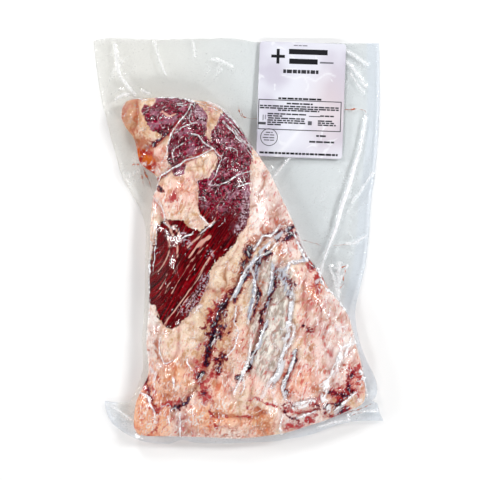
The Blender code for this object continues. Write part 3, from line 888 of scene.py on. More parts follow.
bloodMarks = {  # blood and clots: half width, darkness, points
    "seam tip": (2, 0.8, ((47, 16), (43, 9), (36, 9))),
    "seam": (2.3, 0.8, ((36, 8), (22, 1), (15, -5), (12, -8))),
    "seam spot": (2, 1, ((36, 4), (34, 2))),
    "seam bend": (3, 1, ((10, -7), (7, -15), (3, -21))),
    "seam run": (2.6, 0.95, ((28, -9), (17, -19), (8, -27), (2, -38), (-3, -47))),
    "seam foot": (4, 0.95, ((-4, -47), (-12, -55), (-16, -63), (-20, -75))),
    "seam pool": (7, 0.95, ((-18, -74), (-22, -80))),
    "seam lower": (2.6, 0.95, ((-23, -86), (-27, -96), (-28, -107))),
    "seam low spot": (2.6, 0.95, ((-31, -115), (-33, -120))),
    "seam end": (2, 0.6, ((-36, -127), (-43, -137), (-50, -144), (-58, -148))),
    "right clot": (3, 0.8, ((46, 5), (40, 2))),
    "right run": (1.1, 0.55, ((48, 0), (52, -9), (55, -16))),
    "bank spot": (2.6, 0.9, ((-16, -83),)),
    "bank run": (3.4, 0.9, ((-14, -101), (-19, -111))),
    "bank dot": (1.6, 0.8, ((-3, -70),)),
    "bank dot low": (1.8, 0.8, ((-8, -80),)),
    "low spot": (2.2, 0.8, ((-30, -132),)),
    "first": (1.3, 0.9, ((22, -14), (16, -22), (15, -32), (17, -47), (14, -59), (10, -71))),
    "second": (1.6, 0.9, ((33, -26), (30, -37), (28, -48), (24, -56), (20, -63), (19, -72))),
    "mottle": (3.2, 0.45, ((33, -36), (38, -30), (43, -33), (45, -44))),
    "purple run": (1.8, 0.85, ((24, -73), (17, -89), (11, -103))),
    "purple foot": (2.2, 0.9, ((11, -106), (4, -117), (0, -119))),
    "narrow": (1.4, 0.75, ((50, -97), (48, -108), (44, -115), (40, -126), (43, -136))),
    "edge clot": (2.1, 0.7, ((59, -20),)),
    "edge clot low": (2.3, 0.7, ((65, -24),)),
    "edge spot": (1.4, 0.6, ((69, -38),)),
    "right spot": (2.2, 0.7, ((62, -78),)),
    "right dot": (1.1, 0.6, ((57, -76),)),
    "right gash": (2.2, 0.55, ((98, -117), (96, -125), (98, -132))),
    "right line": (2, 0.6, ((79, -133), (95, -135))),
    "right pool": (4.4, 0.5, ((88, -144), (80, -148))),
    "right hem": (1.9, 0.45, ((73, -156), (91, -153))),
    "hem spot": (2.6, 0.7, ((69, -146),)),
    "hem arc": (1.2, 0.35, ((38, -143), (43, -141), (48, -145))),
    "hem line": (1, 0.3, ((39, -148), (45, -154), (52, -157))),
    "left line": (1.1, 0.45, ((-78, -119), (-77, -133), (-73, -149), (-69, -152))),
    "upper crevice": (1.5, 0.8, ((-62, 93), (-69, 87), (-75, 83))),
    "fold spot": (1.5, 0.8, ((-66, 47), (-65, 44))),
}
flushMarks = {  # orange and brown stain round the blood: half width, strength, points
    "fringe": (4.5, 0.8, ((7, -31), (0, -45), (-9, -55), (-21, -62), (-28, -68))),
    "seam right": (4.5, 0.5, ((36, 14), (20, 6), (8, -10), (-1, -30), (-12, -48))),
    "second pool": (3.5, 0.8, ((34, -4), (38, -10), (36, -16))),
    "ledge": (3.4, 0.7, ((69, -30), (70, -36))),
    "brown fold": (6.5, 0.75, ((18, -150), (24, -160), (22, -168))),
    "groove brown": (3, 0.6, ((18, -29), (19, -41), (16, -58))),
    "second brown": (3.4, 0.5, ((40, -112), (36, -124), (45, -134))),
    "pillow left": (5, 0.45, ((-66, -112), (-60, -132), (-66, -146))),
    "tongue": (3, 0.4, ((-70, -80), (-70, -98), (-62, -110))),
    "hem run": (3, 0.5, ((-20, -150), (-6, -154), (10, -155), (18, -150))),
    "hem low": (3, 0.2, ((-30, -168), (6, -167))),
    "right foot": (5, 0.45, ((96, -112), (100, -128), (88, -138))),
    "knob crease": (1.6, 0.5, ((-88, 118), (-90, 106), (-94, 96))),
    "left knob": (3, 0.5, ((-100, 112), (-98, 100), (-92, 90))),
    "bank dots": (5, 0.7, ((-2, -60), (-6, -74), (-14, -92), (-12, -110))),
    "olive crevice": (3.2, 0.95, ((-66, 88), (-74, 82), (-82, 78))),
    "amber rim": (4, 0.8, ((-92, 92), (-80, 84), (-74, 72), (-76, 60))),
}
wineMarks = {  # wine-red stain of blood in fat: half width, strength, points
    "seam": (7, 0.9, ((-12, -52), (-19, -62), (-22, -78), (-27, -98), (-33, -118), (-29, -133))),
    "hem crease": (1.2, 0.8, ((-25, -153), (-8, -154), (10, -153), (22, -153))),
    "hem crease left": (1, 0.8, ((-25, -134), (-22, -142), (-25, -151), (-19, -163))),
    "hem lump": (1.2, 0.8, ((7, -146), (13, -138), (26, -142), (36, -147))),
    "hem corner": (1.2, 0.8, ((-69, -155), (-72, -163), (-79, -168))),
    "seam tip": (3.6, 0.8, ((45, 8), (48, 2), (38, 2))),
    "bank spot": (4.5, 0.9, ((-18, -103), (-21, -115))),
    "ledge": (3.2, 0.9, ((58, -21), (66, -28), (69, -35), (68, -42))),
    "right foot": (5.5, 1, ((99, -114), (97, -126), (95, -134))),
    "right fold": (5, 1, ((81, -133), (99, -130))),
    "right pool": (7.5, 1, ((80, -152), (90, -146), (88, -138))),
    "hem spot": (4.5, 0.9, ((64, -145), (72, -139))),
    "hem right": (2, 0.7, ((40, -144), (44, -149), (54, -151), (70, -147))),
    "hem right low": (1.6, 0.6, ((41, -162), (54, -158), (67, -152))),
    "pillow right": (3, 0.6, ((-38, -124), (-33, -130), (-30, -138))),
    "lower left": (3, 0.95, ((-79, -121), (-77, -138), (-71, -150), (-65, -144), (-51, -141))),
    "left line": (4.5, 0.55, ((-78, -118), (-77, -136))),
    "knob top": (2.6, 0.65, ((-99, 120), (-94, 123), (-86, 123), (-73, 126))),
    "left rim": (2.4, 0.6, ((-74, 42), (-77, 16), (-78, -8), (-78, -50))),
    "top rim": (2.6, 0.9, ((-20, 120), (-6, 108), (7, 90), (16, 77))),
    "folded fat": (3, 0.85, ((-55, 41), (-58, 35))),
    "upper crevice": (2.2, 0.9, ((-53, 102), (-60, 93), (-69, 87), (-78, 82))),
    "roll line": (1.6, 1, ((-50, 67), (-38, 73), (-24, 79), (-16, 74))),
    "fold line": (1.6, 0.8, ((-74, 40), (-66, 55), (-56, 63))),
    "right spot": (3.2, 0.7, ((62, -78),)),
    "second": (2.2, 0.3, ((30, -30), (26, -50), (20, -70), (16, -90), (10, -106))),
    "narrow": (2.6, 0.6, ((48, -100), (42, -122), (44, -136))),
}
amberPool = ((-90, 82), (-82, 81), (-75, 77), (-71, 67), (-71, 56), (-80, 57), (-87, 65), (-91, 74))
meatShape = {
    "spacing": 0.78,        # distance between the points of the upper side
    "underSpacing": 6.0,
    "below": 0.55,          # how far the meat lies under its film
    "seamFilm": 0.9,        # room for the film where the underside meets the seam
    "underGap": 0.35,       # how far the meat's flat underside is above the film's
    "pillows": (            # rounded mounds of fat: length, depth of the creases between them
        (22.0, 2.3),
        (11.0, 1.6),
        (5.5, 0.4),
    ),
    "grainTurn": 57.0,      # direction of the lean's fibres, in degrees
    "grainBend": 0.0016,
    "streakTurn": 70.0,     # direction of the streaks in fat and silver skin
    "grainRise": 0.3,
    "markSpread": 1.35,     # how wide the blood and stains run, against the widths drawn
}

fleshTones = {  # colour-card readings, one or a pair that a noise runs between
    "cream": ((214, 168, 128), (252, 232, 208)),
    "pink": ((212, 106, 94), (255, 216, 204)),
    "orange": ((226, 124, 82), (252, 196, 160)),
    # tan and pale fat, partly painted shade and painted light
    "tanAndShading": ((186, 134, 92), (226, 186, 146)),
    "pale": ((240, 204, 192), (255, 246, 240)),
    "silver": ((160, 152, 144), (252, 250, 242)),
    # painted shade in the creases of the fat, with the fat's own redder tint there
    "valleyShade": ((166, 92, 56), (174, 44, 42)),
    "tissue": (255, 248, 242),
    "thread": (206, 84, 78),
    "red": ((38, 0, 0), (152, 0, 16)),
    "purple": ((34, 0, 8), (160, 8, 54)),
    "bundle": (52, 0, 8),
    "milky": (202, 140, 166),
    "net": (248, 206, 220),
    "sinew": ((222, 146, 130), (246, 214, 196)),
    "grey": (196, 172, 184),
    "flush": ((200, 84, 30), (160, 96, 60)),
    "wine": ((136, 0, 16), (206, 52, 58)),
    "amber": ((172, 20, 0), (212, 100, 0)),
    "bloodEdge": (126, 0, 20),
    "clot": ((20, 0, 12), (78, 58, 92)),
}


def markValue(points, marks):
    # 1 in the middle of a mark, 0 at its edge and down to -1 outside, each row times its strength
    value = np.full(len(points), -1.0)
    for halfWidth, strength, path in marks.values():
        reach = halfWidth * meatShape["markSpread"]
        gap = pathGap(points, smoothPath(path, 2.0), reach * 2.5)
        value = np.maximum(value, (1 - gap / reach) * np.where(gap < reach, strength, 1))
    return np.clip(value, -1, 1)


def leanDistance(points):
    # distance in from the edge of the lean, less than 0 outside it
    reach = 8.0
    edge = np.full(len(points), -reach)
    for loop in leanRegions.values():
        edge = np.maximum(edge, signedGap(points, smoothPath(loop, 1.5, closed=True), reach))
    return edge


def bloomValue(points):
    # 1 on the purple lean of the upper end, 0 on the deep red of the lower
    return ease(points[:, 1] + 0.35 * points[:, 0] + 16 * rolling(points, 18, 31.0), 4, 34)


def mounds(points, length, seed):
    # 1 in the creases between rounded mounds, 0 on the mounds
    wave = np.abs(rolling(points, length, seed, 1.5, meatShape["streakTurn"]))
    return (1 - np.clip(wave / 0.32, 0, 1)) ** 2.2


def meatRelief(points, lean):
    # small forms under the film; they only cut in, so the film stays clear of them
    fat = 1 - ease(lean, -1.5, 1.5)
    wander = wandered(points, 3.5, 9, 21.0)
    fatCut = np.zeros(len(points))
    # how far into a crease each place of the fat lies, for the painted shade of its creases
    paintedCreaseShade = np.zeros(len(points))
    for row, (length, depth) in enumerate(meatShape["pillows"]):
        share = ease(rolling(points, 2.2 * length, 17.0 + row), -0.25, 0.3)
        crease = mounds(wander, length, 11.0 + row) * share
        fatCut = fatCut + depth * crease
        paintedCreaseShade = np.maximum(paintedCreaseShade, crease * (1.0 - 0.2 * row))
    turn = meatShape["grainTurn"]
    fibre = 0.5 - 0.5 * rolling(points, 1.7, 14.0, 7.0, turn)
    bundle = 0.5 - 0.5 * rolling(points, 4.5, 15.0, 5.0, turn)
    lump = 0.5 - 0.5 * rolling(points, 7.0, 16.0)
    leanCut = meatShape["grainRise"] * (fibre + 1.5 * bundle) + 0.7 * lump
    for name, (halfWidth, drop, _) in creases.items():
        gap = pathGap(points, creasePaths[name], halfWidth * 2.5)
        paintedCreaseShade = np.maximum(paintedCreaseShade, min(1.0, drop / 3) * np.exp(-((gap / (0.7 * halfWidth)) ** 2)))
    return fat * fatCut + (1 - fat) * leanCut, paintedCreaseShade * fat


def meatSheets():
    below = meatShape["below"]
    loop = insetLoop(seamFine, below)
    low, high = loop.min(axis=0), loop.max(axis=0)
    offsets = (0.1, 0.3, 0.6, 1.0, 1.5, 2.1, 2.8)
    plan, faces, rim = meshSheet([loop], fillLoop(loop, offsets, meatShape["spacing"], 0.6, low, high))
    depth, nearest = seamGap(plan, loop)
    lean = leanDistance(plan)
    cut, paintedCreaseShade = meatRelief(plan, lean)
    settle = ease(depth, 1.0, 8.0)
    height = crownHeight(plan, depth) - (below + cut) * settle
    height = np.where(depth < onLine, packShape["seamHeight"], height)
    moved = leanOut(plan, depth, nearest)
    upper = np.column_stack([moved, height])
    # underside: flat where it rests, rounded up to the seam
    offsets = (0.6, 1.6, 3.2, 5.6, 9.0)
    inner = fillLoop(loop, offsets, meatShape["underSpacing"], 0.5, low, high)
    lowPlan, lowFaces, lowRim = meshSheet([loop], inner)
    lowDepth, _ = seamGap(lowPlan, loop)
    keel = keelHeight(lowDepth, meatShape["seamFilm"]) + meatShape["underGap"]
    keel = np.where(lowDepth < onLine, packShape["seamHeight"], keel)
    lower = np.column_stack([lowPlan, keel])
    return (upper, faces, rim), (lower, lowFaces, lowRim), plan, lowPlan, paintedCreaseShade


def fatColour(tree, place, grit, patch, cloud):
    # cream to pink fat, with orange and silver fields, tan and paler fields partly painted as shade and
    # light, painted shade in its creases and pale tissue lines
    drawn = drawnOut(tree, place, meatShape["streakTurn"], 3.0)
    streak = noiseNode(tree, drawn, 270, 3, 0.6, 0.3)
    light = maths(tree, "MULTIPLY_ADD", patch, 0.9, times(tree, streak, 0.55))
    light = maths(tree, "MULTIPLY_ADD", grit, 0.3, light)
    light = band(tree, light, 0.67, 0.9)
    cream = between(tree, light, fleshTones["cream"])
    pink = between(tree, light, fleshTones["pink"])
    pinkness = maths(tree, "MULTIPLY_ADD", patch, 1.2, attribute(tree, "pink"))
    fat = mixColour(tree, band(tree, pinkness, 0.6, 1.25), cream, pink)
    warmth = maths(tree, "MULTIPLY_ADD", cloud, 0.5, attribute(tree, "orange"))
    warm = between(tree, light, fleshTones["orange"])
    fat = mixColour(tree, band(tree, warmth, 0.35, 1.1), fat, warm)
    # tan and paler fields: the fat's own tones, partly painted shade and painted light
    tanAndShading = attribute(tree, "tanAndShading")
    brown = between(tree, light, fleshTones["tanAndShading"])
    fat = mixColour(tree, band(tree, tanAndShading, 0.1, 1.0, 0.0, 0.85), fat, brown)
    pale = between(tree, light, fleshTones["pale"])
    fat = mixColour(tree, band(tree, tanAndShading, -0.05, -0.9, 0.0, 0.85), fat, pale)
    silverTone = between(tree, band(tree, streak, 0.4, 0.6), fleshTones["silver"])
    silver = times(tree, attribute(tree, "silver"), 0.85)
    fat = mixColour(tree, silver, fat, silverTone)
    # painted shade in the creases, with the fat's redder tint there
    valleyShade = between(tree, band(tree, patch, 0.42, 0.6), fleshTones["valleyShade"])
    creaseShadeShare = times(tree, attribute(tree, "paintedCreaseShade"), band(tree, streak, 0.3, 0.66, 0.35, 0.95))
    fat = mixColour(tree, creaseShadeShare, fat, valleyShade)
    tissue = foldLines(tree, drawn, 150, 2.4, 0.5, 0.06)
    tissue = times(tree, tissue, band(tree, pinkness, 0.6, 1.0, 0.0, 0.85))
    fat = mixColour(tree, tissue, fat, tone(*fleshTones["tissue"]))
    thread = band(tree, noiseNode(tree, drawn, 400, 3, 0.65), 0.54, 0.66)
    thread = times(tree, thread, band(tree, pinkness, 0.5, 1.1, 0.08, 0.8))
    return mixColour(tree, thread, fat, tone(*fleshTones["thread"]))


def leanColour(tree, place, along, fibre, grit, patch):
    # deep red with fibres at the foot, purple under a net of pale flecks at the top
    bloom = attribute(tree, "bloom")
    red = between(tree, band(tree, fibre, 0.34, 0.66), fleshTones["red"])
    purple = between(tree, band(tree, grit, 0.38, 0.62), fleshTones["purple"])
    lean = mixColour(tree, bloom, red, purple)
    bundle = noiseNode(tree, along, 30, 2, 0.5, 0.3)
    shade = times(tree, band(tree, bundle, 0.4, 0.62), 0.55)
    lean = mixColour(tree, shade, lean, tone(*fleshTones["bundle"]))
    milky = band(tree, noiseNode(tree, place, 110, 3, 0.6, 0.4), 0.53, 0.6, 0.0, 0.36)
    lean = mixColour(tree, times(tree, milky, bloom), lean, tone(*fleshTones["milky"]))
    net = foldLines(tree, place, 190, 2.3, 0.6, 0.06)
    share = maths(tree, "MULTIPLY_ADD", bloom, 0.56, 0.01)
    share = times(tree, share, band(tree, patch, 0.36, 0.58, 0.3, 1.0))
    lean = mixColour(tree, times(tree, net, share), lean, tone(*fleshTones["net"]))
    streaks = band(tree, noiseNode(tree, along, 48, 2, 0.5, 0.2), 0.64, 0.7)
    streaks = times(tree, streaks, 0.16)
    sinewMask = brokenMask(tree, attribute(tree, "sinew"), fibre, 4.6, 0.3)
    sinewMask = maths(tree, "MAXIMUM", times(tree, sinewMask, 0.85), streaks)
    sinewTone = between(tree, patch, fleshTones["sinew"])
    lean = mixColour(tree, sinewMask, lean, sinewTone)
    grey = times(tree, attribute(tree, "greyLean"), band(tree, grit, 0.5, 0.58))
    return mixColour(tree, grey, lean, tone(*fleshTones["grey"]))


def stained(tree, flesh, grit, patch, cloud):
    # brown and wine-red stains, the amber pool, and clots with ragged red edges
    torn = maths(tree, "MULTIPLY_ADD", grit, 2.0, times(tree, patch, 3.6))
    torn = maths(tree, "SUBTRACT", torn, 2.85)
    spread = {name: maths(tree, "ADD", attribute(tree, name), torn) for name in ("flush", "wine", "blood")}
    brown = between(tree, cloud, fleshTones["flush"])
    brownShare = band(tree, spread["flush"], 0.0, 0.7, 0.0, 0.8)
    flesh = mixColour(tree, brownShare, flesh, brown)
    wine = between(tree, grit, fleshTones["wine"])
    wineShare = band(tree, spread["wine"], 0.0, 0.8, 0.0, 0.92)
    flesh = mixColour(tree, wineShare, flesh, wine)
    pool = between(tree, band(tree, patch, 0.4, 0.6), fleshTones["amber"])
    flesh = mixColour(tree, times(tree, attribute(tree, "amber"), 0.95), flesh, pool)
    edge = band(tree, spread["blood"], -0.1, 0.4, 0.0, 0.92)
    flesh = mixColour(tree, edge, flesh, tone(*fleshTones["bloodEdge"]))
    clot = band(tree, spread["blood"], 0.42, 0.74, 0.0, 0.95)
    clotTone = between(tree, band(tree, grit, 0.5, 0.66), fleshTones["clot"])
    return mixColour(tree, clot, flesh, clotTone)


def fleshMaterial():
    material, tree = newMaterial("wetBeef")
    place = objectPlace(tree)
    grainMap = addNode(tree, "ShaderNodeUVMap", uv_map="grain")
    along = addNode(tree, "ShaderNodeMapping", {"Vector": grainMap, "Scale": (1.0, 0.09, 1.0)})
    grit = noiseNode(tree, place, 520, 3, 0.6)          # about 2 mm
    patch = noiseNode(tree, place, 150, 3, 0.55, 0.4)   # about 7 mm
    cloud = noiseNode(tree, place, 42, 2, 0.5)          # about 25 mm
    fibre = noiseNode(tree, along, 64, 3, 0.62, 0.25)

    fat = fatColour(tree, place, grit, patch, cloud)
    lean = leanColour(tree, place, along, fibre, grit, patch)
    sway = maths(tree, "SUBTRACT", patch, 0.5)
    wandered = maths(tree, "MULTIPLY_ADD", sway, 5.0, attribute(tree, "leanEdge"))
    leanMask = brokenMask(tree, wandered, grit, 4.5, 0.5)
    flesh = mixColour(tree, leanMask, fat, lean)
    flesh = stained(tree, flesh, grit, patch, cloud)

    wet = mixColour(tree, leanMask, (0.42, 0.42, 0.42, 1), (0.3, 0.3, 0.3, 1))
    lift = maths(tree, "MULTIPLY_ADD", fibre, 0.6, grit)
    shader = addNode(tree, "ShaderNodeBsdfPrincipled", {
        "Base Color": flesh, "Roughness": wet, "Specular IOR Level": 0.0,
        "Normal": reliefOf(tree, lift, 0.7, 0.8),
    })
    return surfaced(material, shader)


def meatValues(flat):
    # what the material reads at each place: fields of colour, sinew, stains and the amber pool
    values = {"leanEdge": leanDistance(flat), "bloom": bloomValue(flat)}
    values["silver"] = ease(signedGap(flat, np.array(silverSkin, float), 12.0), -6, 5)
    values["pink"] = 0.12 + 0.25 * rolling(flat, 26, 32.0)
    values["orange"] = -0.05 + 0.2 * rolling(flat, 22, 33.0)
    values["tanAndShading"] = 0.25 * rolling(flat, 20, 37.0)
    for centre, radii, *shares in fatFields.values():
        reach = bump(flat, centre, radii)
        for name, share in zip(("pink", "orange", "tanAndShading"), shares):
            values[name] += share * reach
    sinew = np.full(len(flat), -4.0)
    for halfWidth, path in fatInLean.values():
        sinew = np.maximum(sinew, halfWidth - pathGap(flat, smoothPath(path, 1.5), 5.0))
    values["sinew"] = sinew
    grey = np.zeros(len(flat))
    for halfWidth, path in greyLean.values():
        gap = pathGap(flat, smoothPath(path, 1.5), halfWidth * 2)
        grey = np.maximum(grey, 1 - ease(gap, halfWidth * 0.5, halfWidth * 1.3))
    values["greyLean"] = grey
    ragged = wandered(flat, 2.2, 6, 35.0)
    for name, marks in (("blood", bloodMarks), ("flush", flushMarks), ("wine", wineMarks)):
        values[name] = markValue(ragged, marks)
    amber = signedGap(flat, smoothPath(amberPool, 1.5, closed=True), 6.0)
    values["amber"] = ease(amber + 1.5 * rolling(flat, 5, 34.0), -0.8, 1.6)
    return values


def makeMeat():
    upper, lower, plan, lowPlan, paintedCreaseShade = meatSheets()
    points, faces, used = joinFaces(upper, lower)
    flat = np.vstack([plan, lowPlan])[used]
    values = meatValues(flat)
    values["paintedCreaseShade"] = np.append(paintedCreaseShade, np.zeros(len(lowPlan)))[used]
    # the underside: fat along the rim, patches of lean further in, and no stains
    below = used >= len(plan)
    rim, _ = seamGap(flat[below], insetLoop(seamFine, meatShape["below"]))
    patches = 5 - 9 * ease(rolling(flat[below], 40, 5.0), -0.1, 0.2)
    values["leanEdge"][below] = np.minimum(patches, 0.6 * rim - 6 + 4 * rolling(flat[below], 18, 6.0))
    for name, blank in (("blood", -1.0), ("flush", -1.0), ("wine", -1.0), ("amber", 0.0), ("greyLean", 0.0)):
        values[name][below] = blank
    # the grain map runs along the fibres, which bend towards the upper end
    along, left = turned(flat, meatShape["grainTurn"])
    across = -left - meatShape["grainBend"] * along**2 * (along > 0)
    grain = np.column_stack([across, along]) / 100 + 0.5
    piece = makePiece("tri_tip_meat", points, faces, fleshMaterial(), values, grain)
    print("meat:", len(faces), "triangles")
    return piece


# Film


pleatLines = {  # pleats of the film over the meat, white as painted highlight: half width, points
    "top rim": (0.8, ((-100, 128), (-82, 123), (-69, 125), (-54, 125), (-37, 121), (-26, 117),
        (-18, 113), (-10, 106), (0, 95), (8, 87), (16, 77))),
    "rim inner": (0.48, ((-20, 121), (-12, 112), (-3, 103), (4, 93), (11, 85))),
    "bridge": (0.5, ((-41, 119), (-46, 109), (-52, 103), (-58, 93), (-61, 84), (-62, 77), (-64, 72),
        (-67, 68))),
    "bridge head": (0.45, ((-54, 118), (-49, 118), (-41, 119), (-38, 116))),
    "roll arc": (0.42, ((-56, 93), (-52, 95), (-49, 98), (-41, 101))),
    "roll hook": (0.4, ((-41, 113), (-43, 106), (-41, 102), (-36, 102))),
    "roll slant": (0.6, ((-40, 92), (-35, 91), (-30, 85), (-22, 80), (-19, 76), (-15, 73), (-13, 76))),
    "fold": (0.7, ((-22, 80), (-29, 76), (-37, 72), (-45, 70), (-51, 66), (-57, 63), (-62, 60),
        (-68, 56), (-71, 49), (-73, 42), (-75, 38))),
    "small fold": (0.42, ((-46, 85), (-53, 81), (-57, 77), (-57, 71))),
    "spoon edge": (0.45, ((-15, 73), (-15, 70), (-18, 62), (-20, 56), (-26, 48))),
    "spoon sweep": (0.4, ((-26, 48), (-18, 48), (-8, 52), (0, 57), (9, 60), (12, 61))),
    "spoon hook": (0.4, ((-11, 80), (-8, 81), (-2, 79), (-1, 76))),
    "spoon rim": (0.55, ((-14, 104), (-10, 99), (-5, 95), (0, 88), (6, 82), (10, 76), (14, 71))),
    "spoon tick": (0.4, ((-35, 37), (-30, 38), (-29, 35))),
    "low tick": (0.4, ((-2, 46), (6, 49), (12, 50))),
    "left": (0.55, ((-72, 40), (-69, 34), (-66, 27), (-64, 19), (-65, 16), (-60, 12), (-55, 10))),
    "tip": (0.6, ((-34, 22), (-29, 17), (-26, 14))),
    "wedge": (0.7, ((-21, 16), (-27, 11), (-33, 6))),
    "wedge low": (0.5, ((-39, 6), (-45, 4), (-50, 1))),
    "seam top": (1.2, ((36, 13), (29, 5), (21, 4), (19, 0), (14, -7))),
    "seam side": (1.1, ((34, -2), (26, -10), (18, -14), (11, -20), (6, -26), (2, -35), (-2, -43),
        (-7, -52))),
    "first": (1.1, ((11, -24), (14, -33), (14, -40), (13, -51), (10, -63), (8, -72))),
    "second": (1, ((30, -21), (29, -29), (28, -37), (26, -46))),
    "bank": (0.7, ((-2, -56), (-3, -67), (-4, -71), (0, -78), (-2, -87), (-4, -94), (-11, -101))),
    "purple": (1, ((25, -69), (22, -77), (19, -85), (17, -91), (11, -102))),
    "wide": (1.7, ((45, -55), (45, -69), (43, -73), (48, -74), (48, -81), (45, -89), (40, -96),
        (36, -105), (34, -115), (28, -122), (24, -129), (21, -136))),
    "grey": (1.2, ((49, -95), (48, -104), (44, -115), (41, -120), (38, -127), (39, -133), (41, -139))),
    "edge": (1.7, ((48, 9), (51, -1), (56, -12), (61, -19), (69, -25), (72, -33), (76, -41), (84, -48),
        (91, -58), (97, -67), (99, -76))),
    "lower": (1.3, ((11, -86), (9, -102), (6, -111), (1, -122), (-4, -133))),
    "lower right": (0.6, ((4, -119), (5, -127), (2, -134))),
    "membrane": (1.2, ((42, -26), (45, -19), (51, -18), (57, -18))),
    "pink tick": (0.5, ((76, -49), (76, -55))),
    "pink tick low": (0.5, ((69, -65), (69, -74))),
    "pink tick right": (0.5, ((80, -58), (79, -66))),
    "right shore": (1.8, ((98, -83), (97, -91), (91, -93), (87, -104), (86, -113))),
    "right arc": (0.55, ((56, -110), (52, -116), (50, -122), (50, -127))),
    "hem right": (1.2, ((48, -143), (56, -141), (64, -139))),
    "hem far": (1.1, ((83, -149), (93, -141), (102, -133))),
    "hem low": (1.1, ((51, -155), (59, -152), (67, -149))),
    "hem drop": (0.9, ((39, -152), (36, -164), (39, -167))),
    "edge low": (2.2, ((106, -113), (111, -125), (113, -139))),
    "foot left": (0.6, ((-44, -102), (-44, -107), (-40, -113))),
    "left hook": (0.6, ((-71, -116), (-73, -122), (-73, -128))),
    "left rim": (0.8, ((-87, -134), (-79, -136), (-77, -143), (-73, -150), (-73, -159))),
    "left drop": (0.6, ((-62, -153), (-60, -161))),
    "hem line": (0.7, ((-51, -150), (-51, -161), (-51, -170))),
    "hem line right": (0.6, ((-40, -148), (-39, -160))),
    "pillow": (0.9, ((-57, -119), (-56, -127))),
    "tongue": (0.6, ((-68, -84), (-69, -94), (-66, -105), (-62, -107), (-57, -104))),
    "outer left": (0.8, ((-74, 36), (-76, 10), (-77, -12), (-78, -36), (-78, -60), (-80, -88))),
    "label fold": (0.6, ((54, 84), (45, 73), (34, 59))),
    "outer left inner": (0.5, ((-71, 14), (-73, -8), (-75, -30))),
}
whiteFoldHighlight = {  # the one clean fold of the free film, painted white as its highlight, wider towards the meat
    "whole": (0.75, ((112.5, 116), (112.3, 108), (110, 94), (107, 80), (102, 64), (98, 49), (91, 29),
        (86, 11), (80, -4), (76, -14))),
    "lower": (1.5, ((109, 90), (107, 80), (102, 64), (98, 49), (91, 29), (86, 11), (80, -4), (75, -17))),
}
slackFolds = {  # broad folds of slack film, painted with grey-blue shade and white highlight: half width, shade (1 is painted grey-blue shade, 0 painted white highlight), points
    "seam": (1.6, 0.7, ((42, 10), (29, -1), (18, -11), (9, -24), (3, -35), (-3, -48))),
    "first": (1.9, 1, ((18, -13), (16, -26), (14, -38), (12, -52), (9, -66))),
    "second": (1.4, 0.9, ((30, -19), (29, -35), (26, -50), (23, -63))),
    "ledge pool": (4, 0.8, ((36, -28), (41, -34), (43, -44))),
    "ledge": (1.6, 0.8, ((57, -18), (47, -20), (39, -26), (35, -30))),
    "wide": (2.2, 0.3, ((44, -35), (47, -50), (44, -68), (43, -83), (40, -98), (36, -115), (28, -128))),
    "purple": (1.3, 0.8, ((25, -70), (19, -90), (11, -106))),
    "grey": (1.5, 0.6, ((49, -96), (45, -112), (40, -124), (41, -138))),
    "right shore": (2.2, 0, ((100, -90), (92, -100), (85, -109), (80, -120), (72, -126))),
    "right lump": (2.8, 0, ((78, -126), (74, -136), (78, -146))),
    "hem lump": (1.6, 0, ((48, -146), (58, -144), (66, -140))),
    "right edge": (2, 0, ((97, -68), (103, -90), (109, -112), (113, -136))),
}
marginFolds = {  # folds of the free film, with painted white highlight: half width, rise, points
    "right fold": (1.9, 2, ((112, 108), (110, 94), (107, 80), (102, 64), (98, 49), (91, 29), (86, 11),
        (80, -4), (76, -14), (73, -23), (72, -31))),
    "label fold": (1.4, 1.2, ((55, 85), (45, 73), (32, 57))),
    "triangle left": (1.6, 1.4, ((80, -22), (84, -36), (88, -50))),
    "triangle middle": (2.6, 1, ((89, -20), (88, -32), (88, -46))),
    "triangle right": (1.4, 1.2, ((96, -22), (90, -34), (86, -44))),
    "label corner": (1.6, 1.4, ((91, 170), (102, 163), (114, 155))),
    "label corner low": (1.8, 1.6, ((95, 158), (103, 149), (112, 136))),
    "label corner inner": (1.2, 1, ((98, 148), (104, 139), (110, 130))),
    "corner fold": (1.8, 1.6, ((-109, 173), (-107, 157), (-105, 146), (-99, 138), (-91, 128))),
    "corner tick": (1.4, 1.2, ((-85, 132), (-78, 129))),
    "knob fold": (1.5, 1.2, ((-108, 124), (-102, 128), (-96, 129))),
    "top fold": (1.2, 0.9, ((-74, 176), (-70, 160), (-64, 146))),
    "top tick": (1, 0.8, ((-40, 176), (-38, 162))),
    "middle tick": (1.2, 0.9, ((-24, 160), (-14, 158), (-4, 152))),
    "right tick": (1.4, 1, ((118, 60), (108, 44), (100, 34))),
    "right low": (1.3, 1, ((112, 4), (103, -2), (95, -3))),
    "ear left": (1.2, 1, ((-112, -146), (-102, -152), (-94, -158))),
    "ear right": (1.4, 1.2, ((124, -150), (112, -150), (100, -152))),
    "hem fold": (1.3, 1, ((98, -158), (84, -160), (70, -164))),
}
crumplePatches = {  # where the free film is crumpled, with painted white highlight: centre, radii, strength
    "upper left": ((-104, 152), (16, 30), 1),
    "left": ((-96, 60), (12, 26), 0.8),
    "upper middle": ((-20, 150), (24, 14), 0.9),
    "label side": ((103, 146), (12, 22), 0.9),
    "right": ((92, 18), (22, 60), 0.9),
    "right low": ((88, -26), (12, 16), 1),
    "lower right": ((104, -152), (20, 8), 1),
    "lower left": ((-104, -152), (16, 14), 1),
    "by the meat": ((36, 70), (16, 24), 0.6),
}
